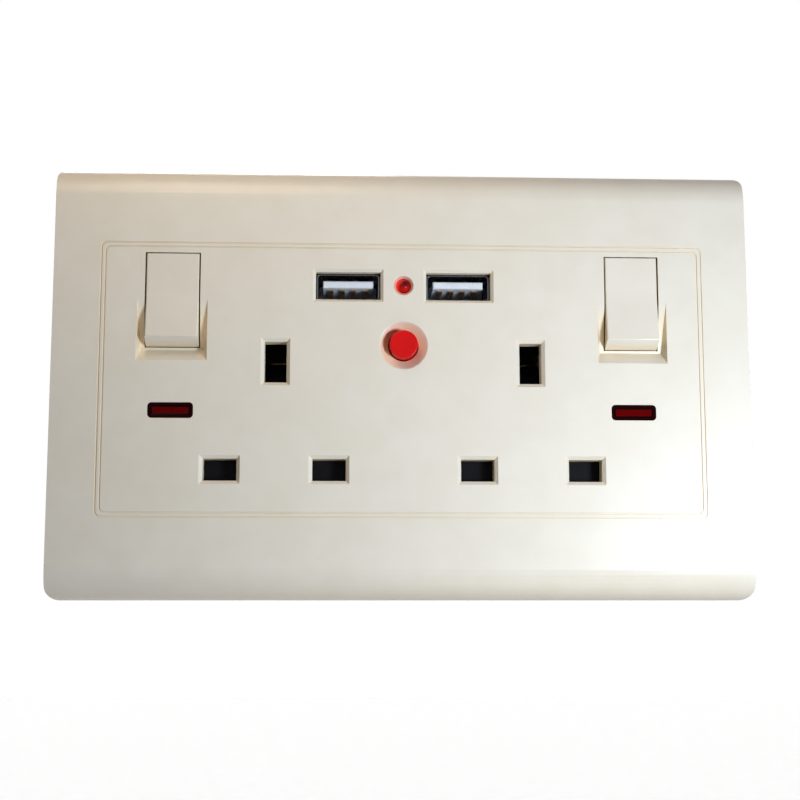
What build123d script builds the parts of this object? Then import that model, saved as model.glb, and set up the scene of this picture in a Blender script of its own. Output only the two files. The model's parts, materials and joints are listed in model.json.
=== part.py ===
from build123d import *
import os
from math import cos, radians, sin, tan

# Twin switched wall socket with two USB ports behind a screwless front cover
# Millimetres: X to the right, Z up, Y into the wall, the wall surface at Y = 0

# Front cover
PLATE_W = 146.0
PLATE_H = 90.0
PLATE_D = 9.3
SIDE_DRAFT = 1.0
CORNER_R = 2.8
EDGE_R = 7.0
COVER_WALL = 2.2
LINE_W = 124.9
LINE_H = 57.0
LINE_R = 1.3
LINE_GAP = 0.87
LINE_CUT = 0.3
LINE_DEPTH = 0.2
CLIP_W = 10.0
CLIP_SPACING = 45.0
CLIP_REACH = 1.2
CLIP_DEPTH = 0.8
PRY_X = -29.2
PRY_W = 6.5
PRY_D = 2.4

# Clearances
SLACK = 0.2
RUNNING_FIT = 0.05
ROOM = 0.5

# Sockets for the rectangular three pin plug
SOCKET_X = 26.33
PIN_SPACING = 22.23
EARTH_RISE = 22.23
EARTH_Z = 3.5
POWER_HOLE_W = 6.84
POWER_HOLE_H = 4.48
EARTH_HOLE_W = 4.54
EARTH_HOLE_H = 8.46
PIN_T = 3.97
HOLE_CHAMFER = 0.72
COLLAR_T = 1.0

# USB ports
USB_X = 11.46
USB_Z = 19.64
USB_HOLE_W = 13.4
USB_HOLE_H = 5.8
USB_CHAMFER = 0.6
SHELL_W = 13.1
SHELL_H = 5.72
SHELL_R = 0.8
SHELL_T = 0.3
TONGUE_W = 10.5
TONGUE_T = 1.55
TONGUE_RISE = 0.66
TONGUE_INSET = 2.3
INSULATOR_D = 3.4
CONTACT_W = 1.0
CONTACT_T = 0.25
CONTACT_PITCH = 2.4
CONTACT_COUNT = 4
SHELL_WINDOW_W = 2.2
SHELL_WINDOW_L = 6.0
SHELL_WINDOW_X = 3.1

# LED
LED_Z = 19.69
LED_R = 1.5
LED_DISH_R = 2.1
LED_DISH_ANGLE = 90.0
LED_FLANGE_R = 1.9
LED_FLANGE_T = 0.9
LED_LENGTH = 5.4
LED_PROUD = 0.2
LED_PITCH = 1.27
LEAD_R = 0.3

# Push button
BUTTON_Z = 7.09
BUTTON_R = 2.925
BUTTON_HOLE_R = 3.15
BUTTON_DISH_R = 5.05
BUTTON_DISH_ANGLE = 111.0
BUTTON_PROUD = 1.4
BUTTON_FLANGE_R = 3.7
BUTTON_FLANGE_T = 0.8
BUTTON_STEM_R = 1.5
BUTTON_STEM_L = 5.6
BUTTON_TRAVEL = 2.0
BUTTON_EDGE_R = 0.25
PUSH_SWITCH_SIZE = 8.0
PUSH_SWITCH_FRONT = -2.0
PUSH_SPRING_L = 2.0

# Neon indicators
NEON_X = 47.59
NEON_Z = -6.67
NEON_W = 9.14
NEON_H = 3.12
NEON_R = 0.75
NEON_WALL = 0.8
NEON_LIP = 0.9
NEON_LIP_T = 0.9
LAMP_R = 1.9
LAMP_EDGE = 0.6
LAMP_LEAD_X = 2.0
LAMP_L = 8.0
LAMP_Y = -4.2
CRADLE_FOOT = 1.2
RESISTOR_R = 1.1
RESISTOR_EDGE = 0.35
RESISTOR_L = 6.0
WIRE_R = 0.5
WIRE_BEND = 1.5

# Rocker switches
ROCKER_X = 47.63
ROCKER_Z = 16.82
ROCKER_W = 10.9
ROCKER_HOLE_W = 11.37
ROCKER_R = 10.42
PIVOT_DEPTH = 5.0
FACE_INSET = 0.15
ROCKER_TRAVEL = 9.0
DISH_R = 30.0
ROCKER_EDGE = 0.22
FACING_SHARE = 0.9
ROCKER_WALL = 1.3
ROCKER_FACE_T = 1.65
SKIRT_U = 3.3
STEM_R = 2.3
STEM_END_U = 5.5
TRUNNION_R = 1.3
TRUNNION_L = 1.5
PLUNGER_R = 1.5
PLUNGER_FROM_U = 3.0
BORE_FROM_U = -2.5
SCOOP_W = 14.44
SCOOP_TOP_Z = 16.4
SCOOP_BOTTOM_Z = 3.65
SCOOP_DEPTH = 2.2
SCOOP_SIDE_LEAN = 0.8
SCOOP_BOTTOM_LEAN = 2.45
SCOOP_BACKING = 1.3
SCOOP_BACKING_H = 10.6
SCOOP_RIM = 0.7

# Rocking contacts
LEVER_Y = 9.4
LEVER_L = 14.0
LEVER_W = 5.0
LEVER_T = 0.8
LEVER_CORNER_R = 1.25
LEVER_TRAVEL = 18.0
CONTACT_R = 1.6
CONTACT_H = 0.8
CONTACT_TAPER = 10.0
CONTACT_ARM = 5.5

# Brass strip, clips and bars
STRIP_T = 0.8
LEAF_T = 0.6
STRIP_Y = 11.0
CLIP_HALF = 2.9
POWER_CLIP_W = 6.0
POWER_MOUTH_Y = -1.2
POWER_THROAT_Y = 3.0
EARTH_CLIP_H = 7.5
EARTH_MOUTH_Y = 2.3
EARTH_THROAT_Y = 6.5
EARTH_STRAP_Y = 15.4
EARTH_STRAP_H = 4.0
GRIP = 0.3
FLARE = 1.1
CROSS_STRIP_Z = -13.0
CROSS_STRIP_H = 7.5
RISER_W = 6.0
STRIP_TOP_RISE = 1.5
NEUTRAL_Z = -26.0
NEUTRAL_H = 5.0
LIVE_Y = 12.4
LIVE_Z = 27.5
LIVE_H = 3.8

# Terminals
TERMINAL_W = 8.0
TERMINAL_H = 7.0
TERMINAL_D = 5.2
TERMINAL_BORE_R = 2.0
LIVE_TERMINAL_X = 24.0
EARTH_TERMINAL_W = 14.0
EARTH_BORE_R = 1.9
EARTH_BORE_PITCH = 7.0
CLAMP_SCREW_R = 1.55
CLAMP_HEAD_R = 2.7
CLAMP_HEAD_T = 2.0

# Shutters
SHUTTER_T = 2.2
SHUTTER_BAR_W = 31.2
SHUTTER_BAR_H = 5.6
SHUTTER_STEM_W = 5.6
SHUTTER_TRAVEL = 5.4
RAMP_FRONT_Z = -0.9
RAMP_BACK_Y = 0.3
RAMP_LAND = 0.6
TRACK_T = 1.45
TRACK_LIP = 1.0
TRACK_LIP_T = 0.8
SHUTTER_SPRING_R = 0.8
SPRING_WIRE_R = 0.2
SPRING_WIRE_SIDES = 6
SPRING_COILS = 4

# Mounting frame
PANEL_T = 2.0
RAISED_W = 114.0
RAISED_H = 66.0
FRAME_WALL = 1.6
FLANGE_GAP = 1.8
FLANGE_T = 2.5
FLANGE_CORNER_R = 4.0
FIXING_SPACING = 120.6
FIXING_R = 1.9
FIXING_WELL_R = 3.6
FIXING_WELL_WALL = 1.2
CHEEK_Z = 13.3
CHEEK_H = 8.7
CHEEK_BACK = -1.7
BEARING_SLOT_W = 2.3

# Rear housing
TERMINAL_ROOM = 0.6
HOUSING_WALL = 1.6
HOUSING_CORNER_R = 3.0
BACK_T = 2.0
NEST_D = 1.6
PEG_W = 5.0

# Assembly screws
SCREW_UPPER = (34.0, 20.0)
SCREW_LOWER = (49.0, -26.0)
SCREW_MIDDLE = (0.0, -10.0)
COLUMN_R = 3.3
SCREW_R = 1.4
SCREW_HEAD_R = 2.6
SCREW_HEAD_T = 1.9
SCREW_SLOT_W = 0.65
SCREW_EDGE = 0.6
SCREW_HEAD_Y = 19.0
SCREW_TIP_Y = -3.6

# Charger board
BOARD_W = 38.6
BOARD_BOTTOM = 1.2
BOARD_TOP = 26.4
BOARD_Y = 6.5
BOARD_T = 1.6
POST_X = 17.2
POST_LOW_Z = 9.5
POST_HIGH_Z = 24.2
POST_R = 1.2
CORE_X = -9.6
CORE_Z = 17.5
CORE_W = 11.0
CORE_H = 11.0
CORE_D = 5.6
CORE_LIMB = 2.2
WINDING_PROUD = 0.55
CAP_X = 8.6
CAP_BOTTOM = 9.0
CAP_L = 12.0
CAP_R = 3.2
CAP_GROOVE_R = 0.35
PIN_LEAD_X = 10.0
WIRE_LEAD_X = -8.0
WIRE_LEAD_Z = 2.6

# Worked out sizes
FACE_Y = -PLATE_D
COVER_BACK = FACE_Y + COVER_WALL
PANEL_BACK = COVER_BACK + PANEL_T
COLLAR_BACK = PANEL_BACK - SLACK
PIVOT_Y = FACE_Y + PIVOT_DEPTH
POWER_Z = EARTH_Z - EARTH_RISE
HALF_SPACING = PIN_SPACING / 2
HALF_TILT = ROCKER_TRAVEL / 2
FLANGE_W = PLATE_W - 2 * (SIDE_DRAFT + COVER_WALL + FLANGE_GAP)
FLANGE_H = PLATE_H - 2 * (COVER_WALL + FLANGE_GAP)
TERMINAL_BACK = EARTH_STRAP_Y + STRIP_T + TERMINAL_D
FLOOR_Y = TERMINAL_BACK + TERMINAL_ROOM
HOUSING_D = FLOOR_Y + BACK_T
SHUTTER_FRONT = PANEL_BACK + SLACK
SHUTTER_BACK = SHUTTER_FRONT + SHUTTER_T
EARTH_TERMINAL_FRONT = EARTH_STRAP_Y + STRIP_T
NEUTRAL_TERMINAL_FRONT = STRIP_Y + STRIP_T
LIVE_TERMINAL_FRONT = LIVE_Y + STRIP_T
UPPER_TERMINAL_Z = LIVE_Z - LIVE_H / 2 - TERMINAL_H / 2
QUARTER = 90
SIDES = {"left": -1, "right": 1}

# Places shared by several pieces
middle = [(0, 0)]
power_places = [
    (side * SOCKET_X + end * HALF_SPACING, POWER_Z) for side in (-1, 1) for end in (-1, 1)
]
earth_places = [(-SOCKET_X, EARTH_Z), (SOCKET_X, EARTH_Z)]
usb_places = [(-USB_X, USB_Z), (USB_X, USB_Z)]
neon_places = [(-NEON_X, NEON_Z), (NEON_X, NEON_Z)]
fixing_places = [(-FIXING_SPACING / 2, 0), (FIXING_SPACING / 2, 0)]
post_places = [(side * POST_X, z) for side in (-1, 1) for z in (POST_LOW_Z, POST_HIGH_Z)]
screw_places = [SCREW_MIDDLE]
screw_places += [(side * x, z) for side in (-1, 1) for x, z in (SCREW_UPPER, SCREW_LOWER)]


def front(y):
    """Plane across the object at depth y, facing the room, so that a positive extrusion comes forward."""
    return Plane.XZ.offset(-y)


def both_sides(x, z, middle_x=0):
    """The two places at x to the left and to the right of a middle line."""
    return [(middle_x - x, z), (middle_x + x, z)]


def blocks(places, width, height, y_back, y_front, mode=Mode.ADD):
    """Rectangular blocks or windows centred at places, between two depths."""
    with BuildSketch(front(y_back)) as outline:
        with Locations(*places):
            Rectangle(width, height)
    extrude(outline.sketch, amount=y_back - y_front, mode=mode)


def rounded_blocks(places, width, height, radius, y_back, y_front, mode=Mode.ADD):
    """Blocks or windows with rounded corners centred at places, between two depths."""
    with BuildSketch(front(y_back)) as outline:
        with Locations(*places):
            RectangleRounded(width, height, radius)
    extrude(outline.sketch, amount=y_back - y_front, mode=mode)


def rounds(places, radius, y_back, y_front, mode=Mode.ADD):
    """Round posts or bores that run straight into the wall, between two depths."""
    with BuildSketch(front(y_back)) as outline:
        with Locations(*places):
            Circle(radius)
    extrude(outline.sketch, amount=y_back - y_front, mode=mode)


def cover_profile(inset):
    """Side profile of the cover with its bullnosed top and bottom, drawn in by inset."""
    half = PLATE_H / 2 - inset
    face = FACE_Y + inset
    bend = FACE_Y + EDGE_R
    radius = EDGE_R - inset
    with BuildSketch(Plane.YZ) as profile:
        with BuildLine():
            CenterArc((bend, half - radius), radius, QUARTER, QUARTER)
            Line((face, half - radius), (face, radius - half))
            CenterArc((bend, radius - half), radius, 2 * QUARTER, QUARTER)
            Polyline((bend, -half), (0, -half), (0, half), (bend, half))
        make_face()
    return profile.sketch


def save(piece, name):
    """Label a finished piece and write it to its own file."""
    piece.label = name
    export_step(piece, f"parts/{name}.step")


os.makedirs("parts", exist_ok=True)

# Finger scoop beside and below the lower half of a rocker
with BuildPart() as scoop:
    with BuildSketch(Plane.XY.offset(SCOOP_BOTTOM_Z)):
        with BuildLine():
            Polyline(
                (-SCOOP_W / 2, FACE_Y),
                (SCOOP_W / 2, FACE_Y),
                (SCOOP_W / 2 - SCOOP_SIDE_LEAN, FACE_Y + SCOOP_DEPTH),
                (SCOOP_SIDE_LEAN - SCOOP_W / 2, FACE_Y + SCOOP_DEPTH),
                close=True,
            )
        make_face()
    extrude(amount=SCOOP_TOP_Z - SCOOP_BOTTOM_Z)
    with BuildSketch(Plane.YZ):
        with BuildLine():
            Polyline(
                (FACE_Y, SCOOP_TOP_Z),
                (FACE_Y, SCOOP_BOTTOM_Z),
                (FACE_Y + SCOOP_DEPTH, SCOOP_BOTTOM_Z + SCOOP_BOTTOM_LEAN),
                close=True,
            )
        make_face()
    extrude(amount=SCOOP_W / 2, both=True, mode=Mode.INTERSECT)


def socket_blocks(growth, y_back, y_front, mode=Mode.ADD):
    """Blocks or windows at the six pin apertures, grown outwards on each side, between two depths."""
    grown = 2 * growth
    blocks(power_places, POWER_HOLE_W + grown, POWER_HOLE_H + grown, y_back, y_front, mode)
    blocks(earth_places, EARTH_HOLE_W + grown, EARTH_HOLE_H + grown, y_back, y_front, mode)


def chamfered_mouths(places, width, height, chamfer_w):
    """Widen rectangular apertures to a mitred chamfer at the front face."""
    for place in places:
        with BuildSketch(front(FACE_Y)) as mouth:
            with Locations(place):
                Rectangle(width + 2 * chamfer_w, height + 2 * chamfer_w)
        with BuildSketch(front(FACE_Y + chamfer_w)) as throat:
            with Locations(place):
                Rectangle(width, height)
        loft([throat.sketch.face(), mouth.sketch.face()], mode=Mode.SUBTRACT)


# Front cover, one moulding that clips over the mounting frame
with BuildPart() as front_cover:
    extrude(cover_profile(0), amount=PLATE_W / 2, both=True)
    with BuildSketch(front(0)):
        RectangleRounded(PLATE_W, PLATE_H, CORNER_R)
    with BuildSketch(front(FACE_Y)):
        RectangleRounded(PLATE_W - 2 * SIDE_DRAFT, PLATE_H, CORNER_R)
    loft(mode=Mode.INTERSECT)
    hollow_half = PLATE_W / 2 - SIDE_DRAFT - COVER_WALL
    extrude(cover_profile(COVER_WALL), amount=hollow_half, both=True, mode=Mode.SUBTRACT)

    # Thicker wall behind the scoops, then the scoops and the rocker openings
    backing_z = SCOOP_BOTTOM_Z - SCOOP_BACKING + SCOOP_BACKING_H / 2
    backing_w = SCOOP_W + 2 * SCOOP_RIM
    blocks(
        both_sides(ROCKER_X, backing_z),
        backing_w,
        SCOOP_BACKING_H,
        COVER_BACK + SCOOP_BACKING,
        COVER_BACK,
    )
    with Locations((-ROCKER_X, 0, 0), (ROCKER_X, 0, 0)):
        add(scoop.part, mode=Mode.SUBTRACT)
    for side in SIDES.values():
        with BuildSketch(Plane.YZ.offset(side * ROCKER_X)):
            with Locations((PIVOT_Y, ROCKER_Z)):
                Circle(ROCKER_R + SLACK)
        extrude(amount=ROCKER_HOLE_W / 2, both=True, mode=Mode.SUBTRACT)

    # Apertures for pins, in collars that reach through the frame, and for USB plugs
    socket_blocks(COLLAR_T, COLLAR_BACK, COVER_BACK)
    socket_blocks(0, COLLAR_BACK, FACE_Y, Mode.SUBTRACT)
    chamfered_mouths(power_places, POWER_HOLE_W, POWER_HOLE_H, HOLE_CHAMFER)
    chamfered_mouths(earth_places, EARTH_HOLE_W, EARTH_HOLE_H, HOLE_CHAMFER)
    blocks(usb_places, USB_HOLE_W, USB_HOLE_H, COVER_BACK, FACE_Y, Mode.SUBTRACT)
    chamfered_mouths(usb_places, USB_HOLE_W, USB_HOLE_H, USB_CHAMFER)

    # Neon windows
    rounded_blocks(
        neon_places,
        NEON_W + 2 * RUNNING_FIT,
        NEON_H + 2 * RUNNING_FIT,
        NEON_R + RUNNING_FIT,
        COVER_BACK,
        FACE_Y,
        Mode.SUBTRACT,
    )

    # Dished holes for the LED and the button
    with Locations(front(FACE_Y)):
        with Locations((0, LED_Z)):
            CounterSinkHole(
                LED_R + RUNNING_FIT, LED_DISH_R, depth=COVER_WALL, counter_sink_angle=LED_DISH_ANGLE
            )
        with Locations((0, BUTTON_Z)):
            CounterSinkHole(
                BUTTON_HOLE_R, BUTTON_DISH_R, depth=COVER_WALL, counter_sink_angle=BUTTON_DISH_ANGLE
            )

    # Engraved double line
    for inset in (0, LINE_GAP):
        with BuildSketch(front(FACE_Y + LINE_DEPTH)):
            RectangleRounded(LINE_W - 2 * inset, LINE_H - 2 * inset, LINE_R)
            offset(amount=-LINE_CUT, mode=Mode.SUBTRACT)
        extrude(amount=LINE_DEPTH, mode=Mode.SUBTRACT)

    # Clips along the top and bottom walls
    clip_edge = PLATE_H / 2 - COVER_WALL
    for end in (-1, 1):
        for clip_x in (-CLIP_SPACING, 0, CLIP_SPACING):
            with BuildSketch(Plane.YZ.offset(clip_x)):
                with BuildLine():
                    Polyline(
                        (0, end * clip_edge),
                        (-CLIP_DEPTH, end * clip_edge),
                        (-CLIP_DEPTH, end * (clip_edge - CLIP_REACH)),
                        close=True,
                    )
                make_face()
            extrude(amount=CLIP_W / 2, both=True)

    # Notch for the screwdriver that prises the cover off
    blocks([(PRY_X, -PLATE_H / 2)], PRY_W, 2 * COVER_WALL, 0, -PRY_D, Mode.SUBTRACT)
save(front_cover.part, "front_cover")

# Mounting frame, which screws to the wall box and carries the cover, rockers and shutters
cavity_w = RAISED_W - 2 * FRAME_WALL
cavity_h = RAISED_H - 2 * FRAME_WALL
track_x = SHUTTER_BAR_W / 2 + SLACK
track_z = -cavity_h / 2
track_h = POWER_Z + SHUTTER_BAR_H / 2 - track_z
lip_y = SHUTTER_BACK + SLACK

with BuildPart() as mounting_frame:
    blocks(middle, RAISED_W, RAISED_H, 0, COVER_BACK)
    rounded_blocks(middle, FLANGE_W, FLANGE_H, FLANGE_CORNER_R, 0, -FLANGE_T)
    blocks(middle, cavity_w, cavity_h, 0, PANEL_BACK, Mode.SUBTRACT)

    # Wells for the two fixing screws
    rounds(fixing_places, FIXING_WELL_R + FIXING_WELL_WALL, 0, COVER_BACK)
    rounds(fixing_places, FIXING_WELL_R, -FLANGE_T, COVER_BACK, Mode.SUBTRACT)
    rounds(fixing_places, FIXING_R, 0, -FLANGE_T, Mode.SUBTRACT)

    # Rebates that the cover's clips hook behind
    for end in (-1, 1):
        clip_places = [(clip_x, end * FLANGE_H / 2) for clip_x in (-CLIP_SPACING, 0, CLIP_SPACING)]
        blocks(clip_places, CLIP_W + 2 * ROOM, CLIP_REACH, 0, -CLIP_DEPTH - SLACK, Mode.SUBTRACT)

    # Windows for the rockers and for the thicker wall round their scoops
    blocks(
        both_sides(ROCKER_X, ROCKER_Z),
        ROCKER_HOLE_W + SLACK,
        2 * (ROCKER_R + SLACK),
        PANEL_BACK,
        COVER_BACK,
        Mode.SUBTRACT,
    )
    blocks(
        both_sides(ROCKER_X, backing_z),
        backing_w + 2 * SLACK,
        SCOOP_BACKING_H + 2 * SLACK,
        PANEL_BACK,
        COVER_BACK,
        Mode.SUBTRACT,
    )

    # Cheeks with the bearings for the rocker trunnions
    cheek_x = ROCKER_W / 2 + SLACK + TRUNNION_L / 2
    for side in SIDES.values():
        cheek_places = both_sides(cheek_x, CHEEK_Z + CHEEK_H / 2, side * ROCKER_X)
        blocks(cheek_places, TRUNNION_L, CHEEK_H, CHEEK_BACK, PANEL_BACK)
        with BuildSketch(Plane.YZ.offset(side * ROCKER_X)):
            with Locations((PIVOT_Y, ROCKER_Z)):
                Circle(TRUNNION_R + RUNNING_FIT)
            with Locations(((PIVOT_Y + CHEEK_BACK) / 2, ROCKER_Z)):
                Rectangle(CHEEK_BACK - PIVOT_Y, BEARING_SLOT_W)
        extrude(amount=cheek_x + TRUNNION_L / 2 + SLACK, both=True, mode=Mode.SUBTRACT)

    # Tracks that the shutters slide in
    for socket_x in (-SOCKET_X, SOCKET_X):
        track_middle = track_z + track_h / 2
        rail_places = both_sides(track_x + TRACK_T / 2, track_middle, socket_x)
        blocks(rail_places, TRACK_T, track_h, lip_y + TRACK_LIP_T, PANEL_BACK)
        lip_places = both_sides(track_x - TRACK_LIP / 2, track_middle, socket_x)
        blocks(lip_places, TRACK_LIP, track_h, lip_y + TRACK_LIP_T, lip_y)

    # Posts for the charger board and bosses for the assembly screws
    rounds(post_places, POST_R, BOARD_Y, PANEL_BACK)
    rounds(screw_places, COLUMN_R, 0, PANEL_BACK)
    rounds(screw_places, SCREW_R, 0, PANEL_BACK, Mode.SUBTRACT)

    # Windows for the collars, the USB shells and the neon lenses
    socket_blocks(COLLAR_T + SLACK, PANEL_BACK, COVER_BACK, Mode.SUBTRACT)
    blocks(
        usb_places, SHELL_W + 2 * SLACK, SHELL_H + 2 * SLACK, PANEL_BACK, COVER_BACK, Mode.SUBTRACT
    )
    blocks(
        neon_places,
        NEON_W + 2 * NEON_LIP + 2 * SLACK,
        NEON_H + 2 * NEON_LIP + 2 * SLACK,
        PANEL_BACK,
        COVER_BACK,
        Mode.SUBTRACT,
    )
    rounds([(0, LED_Z)], LED_FLANGE_R + SLACK, PANEL_BACK, COVER_BACK, Mode.SUBTRACT)
    rounds([(0, BUTTON_Z)], BUTTON_FLANGE_R + ROOM, PANEL_BACK, COVER_BACK, Mode.SUBTRACT)

    # Cradles that hold the neon lamps
    for side in SIDES.values():
        cradle_places = both_sides(LAMP_L / 2 - ROOM, NEON_Z, side * NEON_X)
        cradle_h = NEON_H + 2 * NEON_LIP + 2 * SLACK + 2 * CRADLE_FOOT
        blocks(cradle_places, 2 * ROOM, cradle_h, LAMP_Y + LAMP_R, PANEL_BACK)
        with BuildSketch(Plane.YZ.offset(side * NEON_X)):
            with Locations((LAMP_Y, NEON_Z)):
                Circle(LAMP_R + RUNNING_FIT)
            with Locations((LAMP_Y + LAMP_R / 2, NEON_Z)):
                Rectangle(LAMP_R, 2 * LAMP_R)
        extrude(amount=LAMP_L / 2 + ROOM, both=True, mode=Mode.SUBTRACT)
save(mounting_frame.part, "mounting_frame")

# Rear housing with screw columns, pegs under the brass parts and cable windows
housing_w = cavity_w - 2 * SLACK
housing_h = cavity_h - 2 * SLACK
inner_w = housing_w - 2 * HOUSING_WALL
inner_h = housing_h - 2 * HOUSING_WALL

with BuildPart() as rear_housing:
    rounded_blocks(middle, housing_w, housing_h, HOUSING_CORNER_R, HOUSING_D, -NEST_D)
    inner_r = HOUSING_CORNER_R - HOUSING_WALL
    rounded_blocks(middle, inner_w, inner_h, inner_r, FLOOR_Y, -NEST_D, Mode.SUBTRACT)

    # Columns for the assembly screws
    rounds(screw_places, COLUMN_R, FLOOR_Y, 0)
    rounds(screw_places, SCREW_R + SLACK, HOUSING_D, 0, Mode.SUBTRACT)
    rounds(screw_places, SCREW_HEAD_R + SLACK, HOUSING_D, SCREW_HEAD_Y, Mode.SUBTRACT)

    # Pegs behind the clips, fulcrums, live bar, earth strap and circuit board
    blocks(power_places, PEG_W, PEG_W, FLOOR_Y, STRIP_Y + STRIP_T)
    blocks(both_sides(ROCKER_X, ROCKER_Z - PEG_W / 2), PEG_W, PEG_W, FLOOR_Y, STRIP_Y + STRIP_T)
    blocks(both_sides(ROCKER_X, LIVE_Z), PEG_W, LIVE_H, FLOOR_Y, LIVE_Y + STRIP_T)
    blocks(earth_places, PEG_W, EARTH_STRAP_H, FLOOR_Y, EARTH_STRAP_Y + STRIP_T)
    rounds(post_places, POST_R, FLOOR_Y, BOARD_Y + BOARD_T)

    # Cable windows in the top and bottom walls
    wall_z = housing_h / 2 - HOUSING_WALL / 2
    blocks(
        [(LIVE_TERMINAL_X, wall_z)],
        TERMINAL_W,
        HOUSING_WALL,
        TERMINAL_BACK,
        LIVE_TERMINAL_FRONT + ROOM,
        Mode.SUBTRACT,
    )
    blocks(
        [(0, wall_z)],
        EARTH_TERMINAL_W,
        HOUSING_WALL,
        TERMINAL_BACK,
        EARTH_TERMINAL_FRONT,
        Mode.SUBTRACT,
    )
    blocks(
        [(0, -wall_z)],
        TERMINAL_W,
        HOUSING_WALL,
        TERMINAL_BACK - ROOM,
        NEUTRAL_TERMINAL_FRONT + ROOM,
        Mode.SUBTRACT,
    )

    # Holes through which the clamping screws are turned
    clamp_places = [
        (LIVE_TERMINAL_X, UPPER_TERMINAL_Z),
        (-EARTH_BORE_PITCH / 2, UPPER_TERMINAL_Z),
        (EARTH_BORE_PITCH / 2, UPPER_TERMINAL_Z),
        (0, NEUTRAL_Z + (TERMINAL_H - NEUTRAL_H) / 2),
    ]
    rounds(clamp_places, CLAMP_HEAD_R + ROOM, HOUSING_D, FLOOR_Y, Mode.SUBTRACT)
save(rear_housing.part, "rear_housing")

# Assembly screws with slotted pan heads
with BuildPart() as assembly_screws:
    rounds(screw_places, SCREW_R - RUNNING_FIT, SCREW_HEAD_Y, SCREW_TIP_Y)
    rounds(screw_places, SCREW_HEAD_R, SCREW_HEAD_Y + SCREW_HEAD_T, SCREW_HEAD_Y)
    head_rims = assembly_screws.edges().filter_by(GeomType.CIRCLE).filter_by_position(
        Axis.Y, SCREW_HEAD_Y + SCREW_HEAD_T, SCREW_HEAD_Y + SCREW_HEAD_T
    )
    chamfer(head_rims, SCREW_EDGE)
    blocks(
        screw_places,
        2 * SCREW_HEAD_R,
        SCREW_SLOT_W,
        SCREW_HEAD_Y + SCREW_HEAD_T,
        SCREW_HEAD_Y + SCREW_HEAD_T / 2,
        Mode.SUBTRACT,
    )
save(assembly_screws.part, "assembly_screws")


def tilted_plane(x, y, angle):
    """Plane across the socket at x through a rocker's height, with its first axis to the rear."""
    lean = radians(angle)
    return Plane(origin=(x, y, ROCKER_Z), x_dir=(0, cos(lean), sin(lean)), z_dir=(1, 0, 0))


def coil(base, radius, length, turns):
    """Compression spring that stands on a plane and rises along its normal."""
    with BuildLine() as path:
        Helix(length / turns, length, radius, center=base.origin, direction=base.z_dir)
    with BuildSketch(path.line ^ 0) as wire:
        RegularPolygon(SPRING_WIRE_R, SPRING_WIRE_SIDES)
    sweep(wire.sketch, path=path.line, is_frenet=True)


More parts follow.
